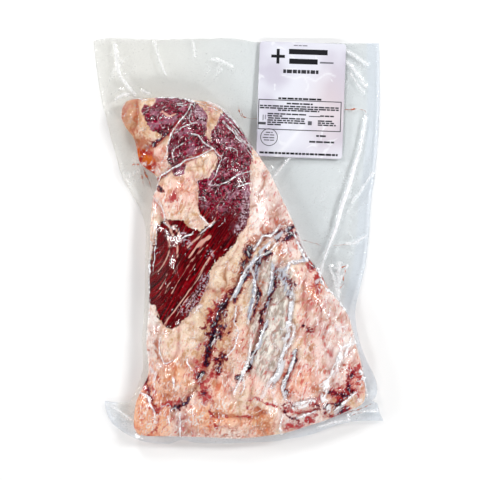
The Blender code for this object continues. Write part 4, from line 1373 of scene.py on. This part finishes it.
tautPatches = {  # where the tight film over fat is puckered most, with the most painted glints: centre, radii, strength
    "right body": ((72, -74), (30, 44), 0.5),
    "right foot": ((84, -134), (34, 22), 0.8),
    "hem": ((-6, -156), (74, 16), 0.6),
    "lower left": ((-72, -140), (22, 28), 0.6),
    "seam": ((-10, -98), (26, 44), 0.5),
    "seam tip": ((44, 4), (22, 16), 0.8),
    "top right": ((26, 40), (16, 40), 0.4),
}
filmShape = {
    "spacing": 1.02,
    "marginSpacing": 1.5,
    "underSpacing": 3.6,
    "bridge": 0.72,        # share of a crease's depth that the film follows
    "pleatRise": 0.55,
    "wrinkleRise": 0.28,   # fine wrinkles over the fat
    "crumpleRise": 1.3,
    "sheetHalf": 0.45,     # half the gap between the two sheets of the margin
    "extraOut": 0.45,      # how far the film stands out past the meat's bulge
    "offGround": 0.05,     # height of the film's flat underside
    "sealBand": 11.0,      # width of the heat seal along the right and bottom edges
}

filmHazeAndSheen = {  # how much of its own white the film shows, up to 1: its milk, and painted highlight and shade on its folds and wrinkles
    # painted highlight along and beside the pleats
    "pleatHighlight": 0.52,
    "freePleat": 0.08,     # what a pleat has more on the free film
    "net": 0.16,           # fine net over the purple lean
    # painted highlights of the fine wrinkles over the fat
    "lines": 0.7,          # fine lines over the fat
    # painted highlight on the wrinkles over the fat
    "wrinkle": 0.55,
    # painted highlight and shade of the slack folds
    "slack": 0.9,
    "margin": 0.03,
    # painted highlight on the crumpled free film
    "crumpled": 0.08,
}
filmTones = {  # as red, green and blue light let through or sent back
    "tight": (0.995, 0.995, 0.995, 1),
    "free left": (0.95, 0.95, 0.936, 1),
    "free right": (0.925, 0.94, 0.944, 1),
    "sealed": (0.905, 0.93, 0.96, 1),
    # the film's white: its milk, and the colour of its painted highlights
    "milkAndSheen": (0.94, 0.94, 0.96, 1),
    # painted grey-blue shade of the slack folds
    "shaded milk": (0.36, 0.38, 0.47, 1),
    # the white of the pleats and slivers, painted as highlight
    "pleatHighlight": (0.9, 0.9, 0.96, 1),
    "pale pleat": (1.0, 1.0, 1.0, 1),
}


def pleatField(points):
    # ridge height (0 to 1), a wider painted white highlight beside each pleat, and the slack folds with
    # their painted shade
    ridge = np.zeros(len(points))
    hazeAndSheen = np.zeros(len(points))
    for halfWidth, path in pleatLines.values():
        line = smoothPath(path, 2.0)
        gap = pathGap(points, line, halfWidth * 3.5)
        share = np.exp(-((gap / halfWidth) ** 2))
        ridge = np.maximum(ridge, share * min(1.6, halfWidth))
        hazeAndSheen = np.maximum(hazeAndSheen, np.exp(-((gap / (halfWidth * 1.1)) ** 2)))
    slack = np.zeros(len(points))
    shade = np.zeros(len(points))
    for halfWidth, dark, path in slackFolds.values():
        gap = pathGap(points, smoothPath(path, 2.0), halfWidth * 2)
        share = 1 - ease(gap, 0.5 * halfWidth, 1.3 * halfWidth)
        slack = np.maximum(slack, share)
        shade = np.maximum(shade, dark * share)
    return ridge, hazeAndSheen, slack, shade


def marginRelief(points, gap):
    # the folds' rise, their white painted as highlight, and the crumpled patches
    rise = np.zeros(len(points))
    white = np.zeros(len(points))
    for halfWidth, lift, path in marginFolds.values():
        away = pathGap(points, smoothPath(path, 2.5), halfWidth * 3)
        share = np.exp(-((away / halfWidth) ** 2))
        rise = np.maximum(rise, lift * share)
        white = np.maximum(white, share)
    patch = patchValue(points, crumplePatches)
    fold = 1 - np.abs(rolling(wandered(points, 2.5, 8, 41.0), 13, 43.0, 1.6, 60)) * 4
    crumpled = np.clip(fold, 0, 1) ** 2
    tension = np.clip(1 - np.abs(rolling(points, 6, 44.0)) * 5, 0, 1) * np.exp(-gap / 9)
    rise = rise + filmShape["crumpleRise"] * (0.25 + 0.75 * patch) * crumpled + 0.5 * tension
    return rise, np.maximum(white, 0.6 * patch * crumpled), patch


def filmPlan():
    # the upper sheet's points: fine over the meat, with rings round its shoulder, coarser outside
    low, high = pouchLoop.min(axis=0), pouchLoop.max(axis=0)
    offsets = (0.12, 0.35, 0.7, 1.2, 1.8, 2.5)
    inner = fillLoop(seamFine, offsets, filmShape["spacing"], 0.6, low, high)
    outer = triangularGrid(filmShape["marginSpacing"], low, high)
    clear = filmShape["marginSpacing"] * 0.6
    within = signedGap(outer, pouchLoop, 4.0) > clear
    outer = outer[within & (signedGap(outer, seamFine, 4.0) < -clear)]
    return meshSheet([pouchLoop, seamFine], inner + [outer])


def upperFilm():
    plan, faces, pouchRim = filmPlan()
    gap, nearest = seamGap(plan, seamFine)
    within = insideLoop(plan, seamFine) & (gap > onLine)
    rim = pathGap(plan, pouchLoop, 7.0, closed=True)
    rise, white, patch = marginRelief(plan, gap)
    paper = ease(signedGap(plan, labelLoop(), 8.0), -4, 1)
    rise = rise * ease(rim, 0, 6) * ease(gap, 0, 3) * (1 - paper)
    free = marginHeight(plan, gap) + filmShape["sheetHalf"] * ease(rim, 0, 2.5) + rise
    ridge, hazeAndSheen, slack, shade = pleatField(plan)
    lean = leanDistance(plan)
    fat = 1 - ease(lean, -2, 1)
    bloom = bloomValue(plan)
    wander = wandered(plan, 2.0, 7, 51.0)
    folds = np.clip(1 - np.abs(rolling(wander, 5.5, 53.0, 2.2, 62)) * 4.5, 0, 1)
    spread = ease(rolling(plan, 24, 54.0), -0.35, 0.35)
    wrinkle = filmShape["wrinkleRise"] * folds * (0.35 + 0.65 * spread) * (0.35 + 0.65 * fat)
    tight = crownHeight(plan, gap, filmShape["bridge"])
    tight = tight + (filmShape["pleatRise"] * ridge + wrinkle) * ease(gap, 0.5, 3)
    height = np.where(within, tight, free)
    moved = leanOut(plan, np.where(within, gap, 0.0), nearest, filmShape["extraOut"])
    sealLine = np.vstack([smoothPath(pouchEdges[key], 2.0) for key in ("right", "right ear", "bottom")])
    seal = ease(pathGap(plan, sealLine, 14.0), filmShape["sealBand"] + 0.6, filmShape["sealBand"] - 0.6)
    taut = patchValue(plan, tautPatches, 0.15)
    values = {
        "pleatHighlight": np.where(within, hazeAndSheen, 0.9 * white),
        "margin": np.where(within, 0.0, ease(gap, 0.0, 2.0)),
        "overLean": np.where(within, ease(lean, -1, 1.5) * bloom, 0.0),
        "slack": np.where(within, slack, 0.0),
        "shade": np.where(within, shade, 0.0),
        "wrinkle": np.where(within, folds * spread * fat, 0.0),
        "seal": np.where(within, 0.0, seal),
        "crumpled": np.where(within, 0.0, patch),
        "onFat": np.where(within, fat, 0.0),
        "pucker": np.where(within & (gap > 4), (0.1 + 0.5 * bloom) * (1 - fat) + taut * fat, 0.0),
    }
    return (np.column_stack([moved, height]), faces, pouchRim), values


def lowerFilm():
    # flat under the meat, up along the margin
    low, high = pouchLoop.min(axis=0), pouchLoop.max(axis=0)
    offsets = (1.0, 2.6, 5.0, 9.0)
    rings = [insetLoop(seamFine, offset) for offset in offsets]
    step = filmShape["underSpacing"]
    grid = triangularGrid(step, low, high)
    away = signedGap(grid, seamFine, 20.0)
    grid = grid[(signedGap(grid, pouchLoop, 6.0) > step * 0.5) & (np.abs(away) > step * 0.5)
                & ((away < 0) | (away > offsets[-1] + step * 0.4))]
    plan, faces, pouchRim = meshSheet([pouchLoop, seamFine], rings + [grid])
    gap, _ = seamGap(plan, seamFine)
    within = insideLoop(plan, seamFine) & (gap > onLine)
    rim = pathGap(plan, pouchLoop, 7.0, closed=True)
    half = filmShape["sheetHalf"]
    free = np.maximum(marginHeight(plan, gap) - half * ease(rim, 0, 2.5), filmShape["offGround"] * 2)
    height = np.where(within, keelHeight(gap, half) + filmShape["offGround"], free)
    return (np.column_stack([plan, height]), faces, pouchRim), np.where(within, 0.0, 1.0)


def filmMaterial():
    material, tree = newMaterial("clearFilm")
    place = objectPlace(tree)
    drawn = drawnOut(tree, place, meatShape["streakTurn"] - 8, 2.0)
    grit = noiseNode(tree, place, 620, 2, 0.55)
    patch = noiseNode(tree, place, 150, 2, 0.5)
    cloud = noiseNode(tree, place, 55, 2, 0.5)
    margin = attribute(tree, "margin")

    # haze and sheen: how much the film hides with its own white, partly its milk and partly painted
    # highlight and shade
    pleatMask = brokenMask(tree, maths(tree, "SUBTRACT", attribute(tree, "pleatHighlight"), 0.55), grit, 1.6, 0.4)
    net = foldLines(tree, place, 300, 2.3, 0.5, 0.06)
    # painted highlights of the fine wrinkles over the fat
    lines = times(tree, foldLines(tree, drawn, 200, 2.6, 0.55, 0.05), band(tree, cloud, 0.4, 0.62))
    streak = band(tree, noiseNode(tree, drawn, 240, 2, 0.6), 0.42, 0.54)
    pleatShare = maths(tree, "MULTIPLY_ADD", margin, filmHazeAndSheen["freePleat"], filmHazeAndSheen["pleatHighlight"])
    hazeAndSheen = times(tree, pleatMask, pleatShare)
    for name, mask in (
        ("net", times(tree, net, attribute(tree, "overLean"))),
        ("lines", times(tree, lines, attribute(tree, "onFat"))),
        ("wrinkle", band(tree, times(tree, attribute(tree, "wrinkle"), patch), 0.3, 0.6)),
        ("slack", times(tree, streak, attribute(tree, "slack"))),
        ("margin", margin),
        ("crumpled", times(tree, attribute(tree, "crumpled"), patch)),
    ):
        hazeAndSheen = maths(tree, "MULTIPLY_ADD", mask, filmHazeAndSheen[name], hazeAndSheen, clamp=True)

    # the free film lets a little less light through, yellowish at the left and bluish at the right
    side = addNode(tree, "ShaderNodeSeparateXYZ", {0: place})
    rightward = band(tree, side.outputs["X"], -0.11, 0.05)
    tintMargin = mixColour(tree, rightward, filmTones["free left"], filmTones["free right"])
    tintMargin = mixColour(tree, attribute(tree, "seal"), tintMargin, filmTones["sealed"])
    tint = mixColour(tree, margin, filmTones["tight"], tintMargin)
    # the film's white of painted highlight, grey-blue where painted as the slack folds' shade
    milkAndSheen = mixColour(tree, attribute(tree, "shade"), filmTones["milkAndSheen"], filmTones["shaded milk"])
    pull = maths(tree, "MULTIPLY_ADD", attribute(tree, "pucker"), 0.9, 0.3)
    relief = reliefOf(tree, times(tree, crumpleHeight(tree, drawn, 110, 2.4, 0.45), pull), 1.0, 1.2)
    clear = addNode(tree, "ShaderNodeBsdfTransparent", {"Color": tint})
    milky = addNode(tree, "ShaderNodeBsdfPrincipled", {
        "Base Color": milkAndSheen, "Roughness": 0.28, "Normal": relief,
    })
    body = addNode(tree, "ShaderNodeMixShader", {0: hazeAndSheen, 1: clear, 2: milky})
    gloss = addNode(tree, "ShaderNodeBsdfGlossy", {
        "Color": (1, 1, 1, 1), "Roughness": 0.1, "Normal": relief,
    })
    # reflection grows towards the edges, alike from both sides of the film
    facing = addNode(tree, "ShaderNodeLayerWeight", {"Blend": 0.5, "Normal": relief})
    grazing = maths(tree, "POWER", facing.outputs["Facing"], 5.0)
    mirror = maths(tree, "MULTIPLY_ADD", grazing, 0.5, 0.02)
    skin = addNode(tree, "ShaderNodeMixShader", {0: mirror, 1: body, 2: gloss})
    return surfaced(material, skin)


def makeFilm():
    upper, values = upperFilm()
    lower, lowMargin = lowerFilm()
    points, faces, used = joinFaces(upper, lower)
    blank = np.zeros(len(lowMargin))
    for name in values:
        below = lowMargin if name == "margin" else blank
        values[name] = np.append(values[name], below)[used]
    piece = makePiece("pouch_film", points, faces, filmMaterial(), values)
    print("film:", len(faces), "triangles")
    return piece


juiceLines = {  # thin lines of meat juice between the sheets: half width, points
    "top": (0.35, ((93, 115), (101, 115.4), (110, 115), (113, 112))),
    "by the label": (0.35, ((2, 115), (4, 110), (10, 107), (17, 107))),
    "by the label low": (0.3, ((0, 118), (1, 112), (4, 108))),
    "middle": (0.35, ((41, 68), (36, 63), (32, 59))),
    "shoulder": (0.35, ((55, 1), (61, -1), (73, -4))),
    "shoulder far": (0.3, ((83, -5), (90, -4), (98, -4))),
    "right": (0.35, ((94, -24), (93, -30), (92, -36))),
    "right low": (0.35, ((93, -38), (90, -42), (86, -43))),
    "right loop": (0.3, ((95, -22), (90, -24), (86, -26))),
    "left": (0.4, ((-87, 66), (-91, 67), (-94, 66))),
    "left drop": (0.45, ((-86, 66), (-85, 56), (-83, 46))),
    "left drop inner": (0.45, ((-85, 66), (-80, 55), (-76, 45))),
    "ear": (0.4, ((92, -153), (100, -150), (108, -148), (117, -144))),
    "ear low": (0.35, ((96, -156), (104, -152), (112, -150))),
}
strandSettings = {
    "pleatWidth": 0.8,
    "pleatFlat": 0.4,
    "pleatWaver": 0.0026,
    "juiceWidth": 1.35,
    "juiceFlat": 0.4,
    "juiceWaver": 0.003,
    "juiceLift": -0.0002,
    "juiceTones": ((186, 76, 44), (216, 134, 96)),
    "puckerSpacing": 0.0031,
}


def pleatMaterial(name, thinnest, roughRelief):
    # folded film: white as painted highlight, and milky where it is doubled, clearer between
    material, tree = newMaterial(name)
    place = objectPlace(tree)
    grit = noiseNode(tree, place, 420, 2, 0.6)
    shader = addNode(tree, "ShaderNodeBsdfPrincipled", {
        "Base Color": mixColour(tree, grit, filmTones["pleatHighlight"], filmTones["pale pleat"]), "Roughness": 0.16,
        "Alpha": band(tree, grit, 0.38, 0.5, thinnest, 1.0),
        "Normal": reliefOf(tree, crumpleHeight(tree, place, 400, 2.5, 0.4), roughRelief, 0.2),
    })
    return surfaced(material, shader)


def juiceMaterial():
    material, tree = newMaterial("meatJuice")
    place = objectPlace(tree)
    grit = noiseNode(tree, place, 260, 2, 0.6)
    shader = addNode(tree, "ShaderNodeBsdfPrincipled", {
        "Base Color": between(tree, grit, strandSettings["juiceTones"]), "Roughness": 0.25,
        "Alpha": band(tree, grit, 0.35, 0.6, 0.3, 0.9),
    })
    return surfaced(material, shader)


def makeFolds(film):
    folded = pleatMaterial("pleatHighlightFilm", 0.2, 0.5)
    pleats = runTree("film_pleats", lineMesh("pleatPaths", pleatLines, 1.0), strands, {
        "Surface": film,
        "Width": strandSettings["pleatWidth"],
        "Waver": strandSettings["pleatWaver"],
        "Flatness": strandSettings["pleatFlat"],
        "Finish": folded,
    })
    crease = runTree("film_crease", lineMesh("creasePaths", whiteFoldHighlight, 1.0), strands, {
        "Surface": film,
        "Unevenness": 0.0,
        "Waver": 0.0,
        "Flatness": strandSettings["pleatFlat"],
        "Finish": pleatMaterial("foldHighlightFilm", 0.9, 0.0),
    })
    juice = runTree("juice_lines", lineMesh("juicePaths", juiceLines, 1.0), strands, {
        "Surface": film,
        "Width": strandSettings["juiceWidth"],
        "Flatness": strandSettings["juiceFlat"],
        "Waver": strandSettings["juiceWaver"],
        "Lift": strandSettings["juiceLift"],
        "Finish": juiceMaterial(),
    })
    # slivers of puckered film, white as painted glints
    slivers = runTree("film_puckers", bpy.data.meshes.new("puckerCarrier"), puckers, {
        "Surface": film,
        "Spacing": strandSettings["puckerSpacing"],
        "Finish": folded,
    })
    return pleats, crease, juice, slivers


# Label


labelShape = {
    "size": (76.0, 101.5),
    "centre": (55.0, 123.6),
    "turn": math.radians(-2.0),
    "corner": 3.0,
    "thick": 0.35,
    "gap": 0.5,            # clear of the film under it
    "cells": (58, 78),
    "cellInset": 0.9,
    "edgeStep": 1.2,
    "folds": (             # folds in the paper, painted paler as highlight: half width, points from the label's middle
        (2.2, ((-20, -50), (-8, -36), (2, -23))),
        (0.8, ((-18, 22), (-6, 19), (2, 21), (12, 17))),
        (0.7, ((2, 21), (6, 13), (4, 8))),
        (0.8, ((12, 17), (22, 24), (29, 22))),
    ),
    "pinkShade": ((26, -8), (18, 34)),  # middle and radii of the pink shade painted on the paper
    "paperTones": ((208, 204, 219), (232, 233, 243)),
    "pinkShadeTone": (226, 208, 210),
    "creaseHighlightTone": (246, 247, 252),
    "inkTones": ((8, 8, 12), (34, 34, 40)),
    "faintInk": (190, 190, 202),
}


def labelPlan(flat):
    # places on the label, from its own upright millimetres to the pouch's
    cos, sin = math.cos(labelShape["turn"]), math.sin(labelShape["turn"])
    return flat @ np.array([[cos, sin], [-sin, cos]]) + labelShape["centre"]


def labelLoop():
    # the paper's outline with its rounded corners, clockwise
    width, length = (side / 2 for side in labelShape["size"])
    radius = labelShape["corner"]
    loop = []
    for signX, signY, start in ((1, 1, 90), (1, -1, 0), (-1, -1, -90), (-1, 1, -180)):
        for step in range(7):
            angle = math.radians(start - step * 15)
            loop.append((signX * (width - radius) + radius * math.cos(angle),
                         signY * (length - radius) + radius * math.sin(angle)))
    return labelPlan(np.array(loop))


def stepped(loop, step):
    # the same loop with its straight runs cut into steps
    pieces = []
    for start, end in zip(loop, np.roll(loop, -1, axis=0)):
        count = max(1, round(np.linalg.norm(end - start) / step))
        pieces.append(start + (end - start) * np.linspace(0, 1, count, endpoint=False)[:, None])
    return np.vstack(pieces)


def paperMaterial():
    material, tree = newMaterial("labelPaper")
    place = objectPlace(tree)
    cloud = noiseNode(tree, place, 26, 2)
    fibre = noiseNode(tree, place, 900, 2)
    paper = between(tree, band(tree, cloud, 0.35, 0.6), labelShape["paperTones"])
    # painted highlight along the paper's creases and folds
    crease = foldLines(tree, place, 24, 2.1, 0.3, 0.03)
    # pink shade painted on the paper
    paper = mixColour(tree, attribute(tree, "pinkShade"), paper, tone(*labelShape["pinkShadeTone"]))
    crease = maths(tree, "MAXIMUM", times(tree, crease, 0.6), attribute(tree, "fold"))
    paper = mixColour(tree, crease, paper, tone(*labelShape["creaseHighlightTone"]))
    shader = addNode(tree, "ShaderNodeBsdfPrincipled", {
        "Base Color": paper, "Roughness": band(tree, fibre, 0.3, 0.7, 0.3, 0.42),
        "Normal": reliefOf(tree, crumpleHeight(tree, place, 60, 4.0, 0.2), 0.3, 0.4),
    })
    return surfaced(material, shader)


def labelHeight(plan):
    gap, _ = seamGap(plan, seamFine)
    return marginHeight(plan, gap) + filmShape["sheetHalf"] + labelShape["gap"]


def makeLabel():
    rim = labelLoop()
    width, length = (side / 2 - labelShape["cellInset"] for side in labelShape["size"])
    across = np.linspace(-width, width, labelShape["cells"][0])
    up = np.linspace(-length, length, labelShape["cells"][1])
    flat = np.array([(x, y) for y in up for x in across])
    grid = labelPlan(flat)
    grid = grid[signedGap(grid, rim, 3.0) > 0.6]
    plan, faces, _ = meshSheet([stepped(rim, labelShape["edgeStep"])], [grid])
    points = np.column_stack([plan, labelHeight(plan)])
    fold = np.zeros(len(plan))
    for halfWidth, path in labelShape["folds"]:
        gap = pathGap(plan, labelPlan(smoothPath(path, 2.0)), halfWidth * 3)
        fold = np.maximum(fold, 0.65 * np.exp(-((gap / halfWidth) ** 2)))
    centre, radii = labelShape["pinkShade"]
    pinkShade = 0.6 * bump(plan, labelPlan(np.array([centre], float))[0], radii)
    piece = makePiece("paper_label", points, faces, paperMaterial(), {"fold": fold, "pinkShade": pinkShade})
    sheet = piece.modifiers.new("paper", "SOLIDIFY")
    sheet.thickness = labelShape["thick"] * mm
    sheet.offset = 1.0
    print("label:", len(faces), "triangles")
    return piece


labelPrint = {  # plain marks in place of print, in millimetres from the label's middle
    "bold": (  # solid blocks: middle, length, height, faintness
        (-21.5, 38, 12, 2.6, 0), (-21.5, 38, 2.6, 13, 0), (5, 42.5, 34, 4.6, 0), (1, 34, 25, 4.6, 0),
        (21.5, 33.5, 12, 1.4, 0.3), (12.5, -14, 10, 0.8, 0.2), (8.5, -20, 3.5, 3.5, 0.2),
        (-33.5, -21.5, 6.5, 2.2, 0.1),
    ),
    "rows": (  # rows of word-long bars: left end, right end, height up the label, bar height, faintness
        (-8, 4, 48, 0.8, 0.4), (-16.5, 14.5, 25, 3.2, 0.05), (-20, 18, 1, 1.6, 0),
        (-12.5, 10.5, -3.4, 1.3, 0), (-36, 33.5, -5.9, 1.25, 0.05), (-36, 33.5, -7.8, 1.25, 0.05),
        (-20, 16.5, -9.5, 1.25, 0.05), (-29, 5, -12.8, 1.25, 0.05), (-29, -15, -14.7, 1.25, 0.05),
        (-28.5, 4, -16.6, 1.25, 0.05), (-29, 4.5, -18.5, 1.25, 0.05), (-29, 4.5, -20.4, 1.25, 0.05),
        (-29, -17, -22.3, 1.25, 0.05), (17.5, 29.5, -13.4, 1.25, 0.05), (15.5, 28, -17.8, 1.25, 0.05),
        (15.5, 30.5, -19.6, 1.25, 0.05), (15.5, 31.5, -21.4, 1.25, 0.05), (-30, -24, -29.4, 0.8, 0.1),
        (-31.5, -22.5, -31.6, 0.8, 0.1), (-32.5, -21.5, -34, 0.8, 0.1), (-31.5, -22.5, -36.2, 0.8, 0.1),
        (14.5, 23, -31, 1.6, 0.05), (8.5, 30.5, -36.3, 1.6, 0.05), (-35, 34, -47.3, 1.8, 0),
    ),
    "wordLength": (2.2, 6.4),
    "wordGap": 0.7,
    "frame": (-37, 35.5, -26.5, -0.6),   # left, right, bottom and top of the boxed part
    "frameLine": 0.75,
    "ring": (-27, -33.6, 7.4, 0.65, 40),  # middle, radius, line and number of its parts
    "tick": ((-32.8, -16.4, 1, 5), (-30.8, -16, 1, 4)),
}


def inkBlocksPlan():
    # every block of the print: place, size, turn and faintness
    words = random.Random(7)
    blocks = [(x, y, length, height, 0.0, faint) for x, y, length, height, faint in labelPrint["bold"]]
    blocks += [(x, y, length, height, 0.0, 0.6) for x, y, length, height in labelPrint["tick"]]
    for left, right, y, height, faint in labelPrint["rows"]:
        start = left
        while start < right - 1.0:
            end = min(right, start + words.uniform(*labelPrint["wordLength"]))
            blocks.append(((start + end) / 2, y, end - start, height, 0.0, faint))
            start = end + labelPrint["wordGap"]
    left, right, bottom, top = labelPrint["frame"]
    line = labelPrint["frameLine"]
    for y in (bottom, top):
        blocks.append(((left + right) / 2, y, right - left + line, line, 0.0, 0.1))
    for x in (left, right):
        blocks.append((x, (bottom + top) / 2, line, top - bottom - line, 0.0, 0.1))
    x, y, radius, line, count = labelPrint["ring"]
    for k in range(count):
        turn = 2 * math.pi * k / count
        blocks.append((x + radius * math.cos(turn), y + radius * math.sin(turn),
                       line, 2 * math.pi * radius / count, turn, 0.15))
    return blocks


def inkMaterial():
    material, tree = newMaterial("labelInk")
    place = objectPlace(tree)
    faint = attribute(tree, "faint")
    grit = noiseNode(tree, place, 1500, 2)
    dark = between(tree, grit, labelShape["inkTones"])
    shader = addNode(tree, "ShaderNodeBsdfPrincipled", {
        "Base Color": mixColour(tree, faint, dark, tone(*labelShape["faintInk"])), "Roughness": 0.5,
        "Specular IOR Level": 0.25,
    })
    return surfaced(material, shader)


def makePrint(paper):
    blocks = np.array(inkBlocksPlan())
    plan = (labelPlan(blocks[:, :2]) - packCentre) * mm
    mesh = bpy.data.meshes.new("inkPoints")
    mesh.from_pydata([(x, y, 0.0) for x, y in plan], [], [])
    size = mesh.attributes.new("blockSize", "FLOAT_VECTOR", "POINT")
    sizes = np.column_stack([blocks[:, 2] * mm, blocks[:, 3] * mm, np.ones(len(blocks))])
    size.data.foreach_set("vector", sizes.astype(np.float32).ravel())
    turn = mesh.attributes.new("blockTurn", "FLOAT", "POINT")
    turn.data.foreach_set("value", (blocks[:, 4] + labelShape["turn"]).astype(np.float32))
    faint = mesh.attributes.new("faint", "FLOAT", "POINT")
    faint.data.foreach_set("value", blocks[:, 5].astype(np.float32))
    return runTree("label_print", mesh, inkBlocks, {"Surface": paper, "Finish": inkMaterial()})


# Studio


studio = {
    "cameraHeight": 2.0,
    "cameraPlace": (0.0013, 0.0007),
    "lens": 170.0,
    "worldHorizon": 0.95,
    "worldZenith": 0.12,
    "worldFade": (0.05, 0.4),  # heights between which the one passes into the other
    "floorReach": 4.0,
    "lightDistance": 1.5,
    "lights": {  # bearing and height in degrees, size in metres, watts
        "key": (28, 38, 0.3, 11.5),
        "back": (105, 36, 0.26, 7.6),
        "left": (166, 24, 0.26, 8.8),
        "foot left": (245, 36, 0.26, 6.6),
        "foot right": (310, 36, 0.26, 6.6),
    },
}


def makeStudio():
    scene = bpy.context.scene
    scene.view_settings.view_transform = "Standard"
    floorMesh = bpy.data.meshes.new("studioFloor")
    reach = studio["floorReach"]
    corners = [(-reach, -reach, 0), (reach, -reach, 0), (reach, reach, 0), (-reach, reach, 0)]
    floorMesh.from_pydata(corners, [], [(0, 1, 2, 3)])
    floor = bpy.data.objects.new("studio_floor", floorMesh)
    scene.collection.objects.link(floor)
    white, tree = newMaterial("studioWhite")
    matt = addNode(tree, "ShaderNodeBsdfDiffuse", {"Color": (0.92, 0.92, 0.92, 1)})
    floorMesh.materials.append(surfaced(white, matt))

    world = bpy.data.worlds.new("studioAir")
    scene.world = world
    world.use_nodes = True
    tree = world.node_tree
    tree.nodes.clear()
    around = addNode(tree, "ShaderNodeTexCoord").outputs["Generated"]
    split = addNode(tree, "ShaderNodeSeparateXYZ", {0: around})
    low, high = studio["worldFade"]
    level = band(tree, split.outputs["Z"], low, high, studio["worldHorizon"], studio["worldZenith"])
    air = addNode(tree, "ShaderNodeBackground", {"Strength": level})
    addNode(tree, "ShaderNodeOutputWorld", {"Surface": air})

    for name, (bearing, rise, size, watts) in studio["lights"].items():
        turn, lift = math.radians(bearing), math.radians(rise)
        way = Vector((math.cos(turn) * math.cos(lift), math.sin(turn) * math.cos(lift), math.sin(lift)))
        lamp = bpy.data.lights.new(name, "AREA")
        lamp.size = size
        lamp.energy = watts
        light = bpy.data.objects.new(name, lamp)
        light.location = studio["lightDistance"] * way
        light.rotation_euler = (-way).to_track_quat("-Z", "Y").to_euler()
        scene.collection.objects.link(light)

    lens = bpy.data.cameras.new("studioCamera")
    lens.lens = studio["lens"]
    lens.sensor_width = 36.0
    lens.clip_end = 20.0
    camera = bpy.data.objects.new("studio_camera", lens)
    camera.location = (*studio["cameraPlace"], studio["cameraHeight"])
    scene.collection.objects.link(camera)
    scene.camera = camera
    print("studio: floor,", len(studio["lights"]), "lights and camera")


# Assembly


meat = makeMeat()
film = makeFilm()
paper = makeLabel()
for piece in (meat, film, *makeFolds(film)):
    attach(piece, root)
    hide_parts("vacuum_packed_tri_tip")
for piece in (paper, makePrint(paper)):
    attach(piece, root)
    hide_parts("label")
makeStudio()
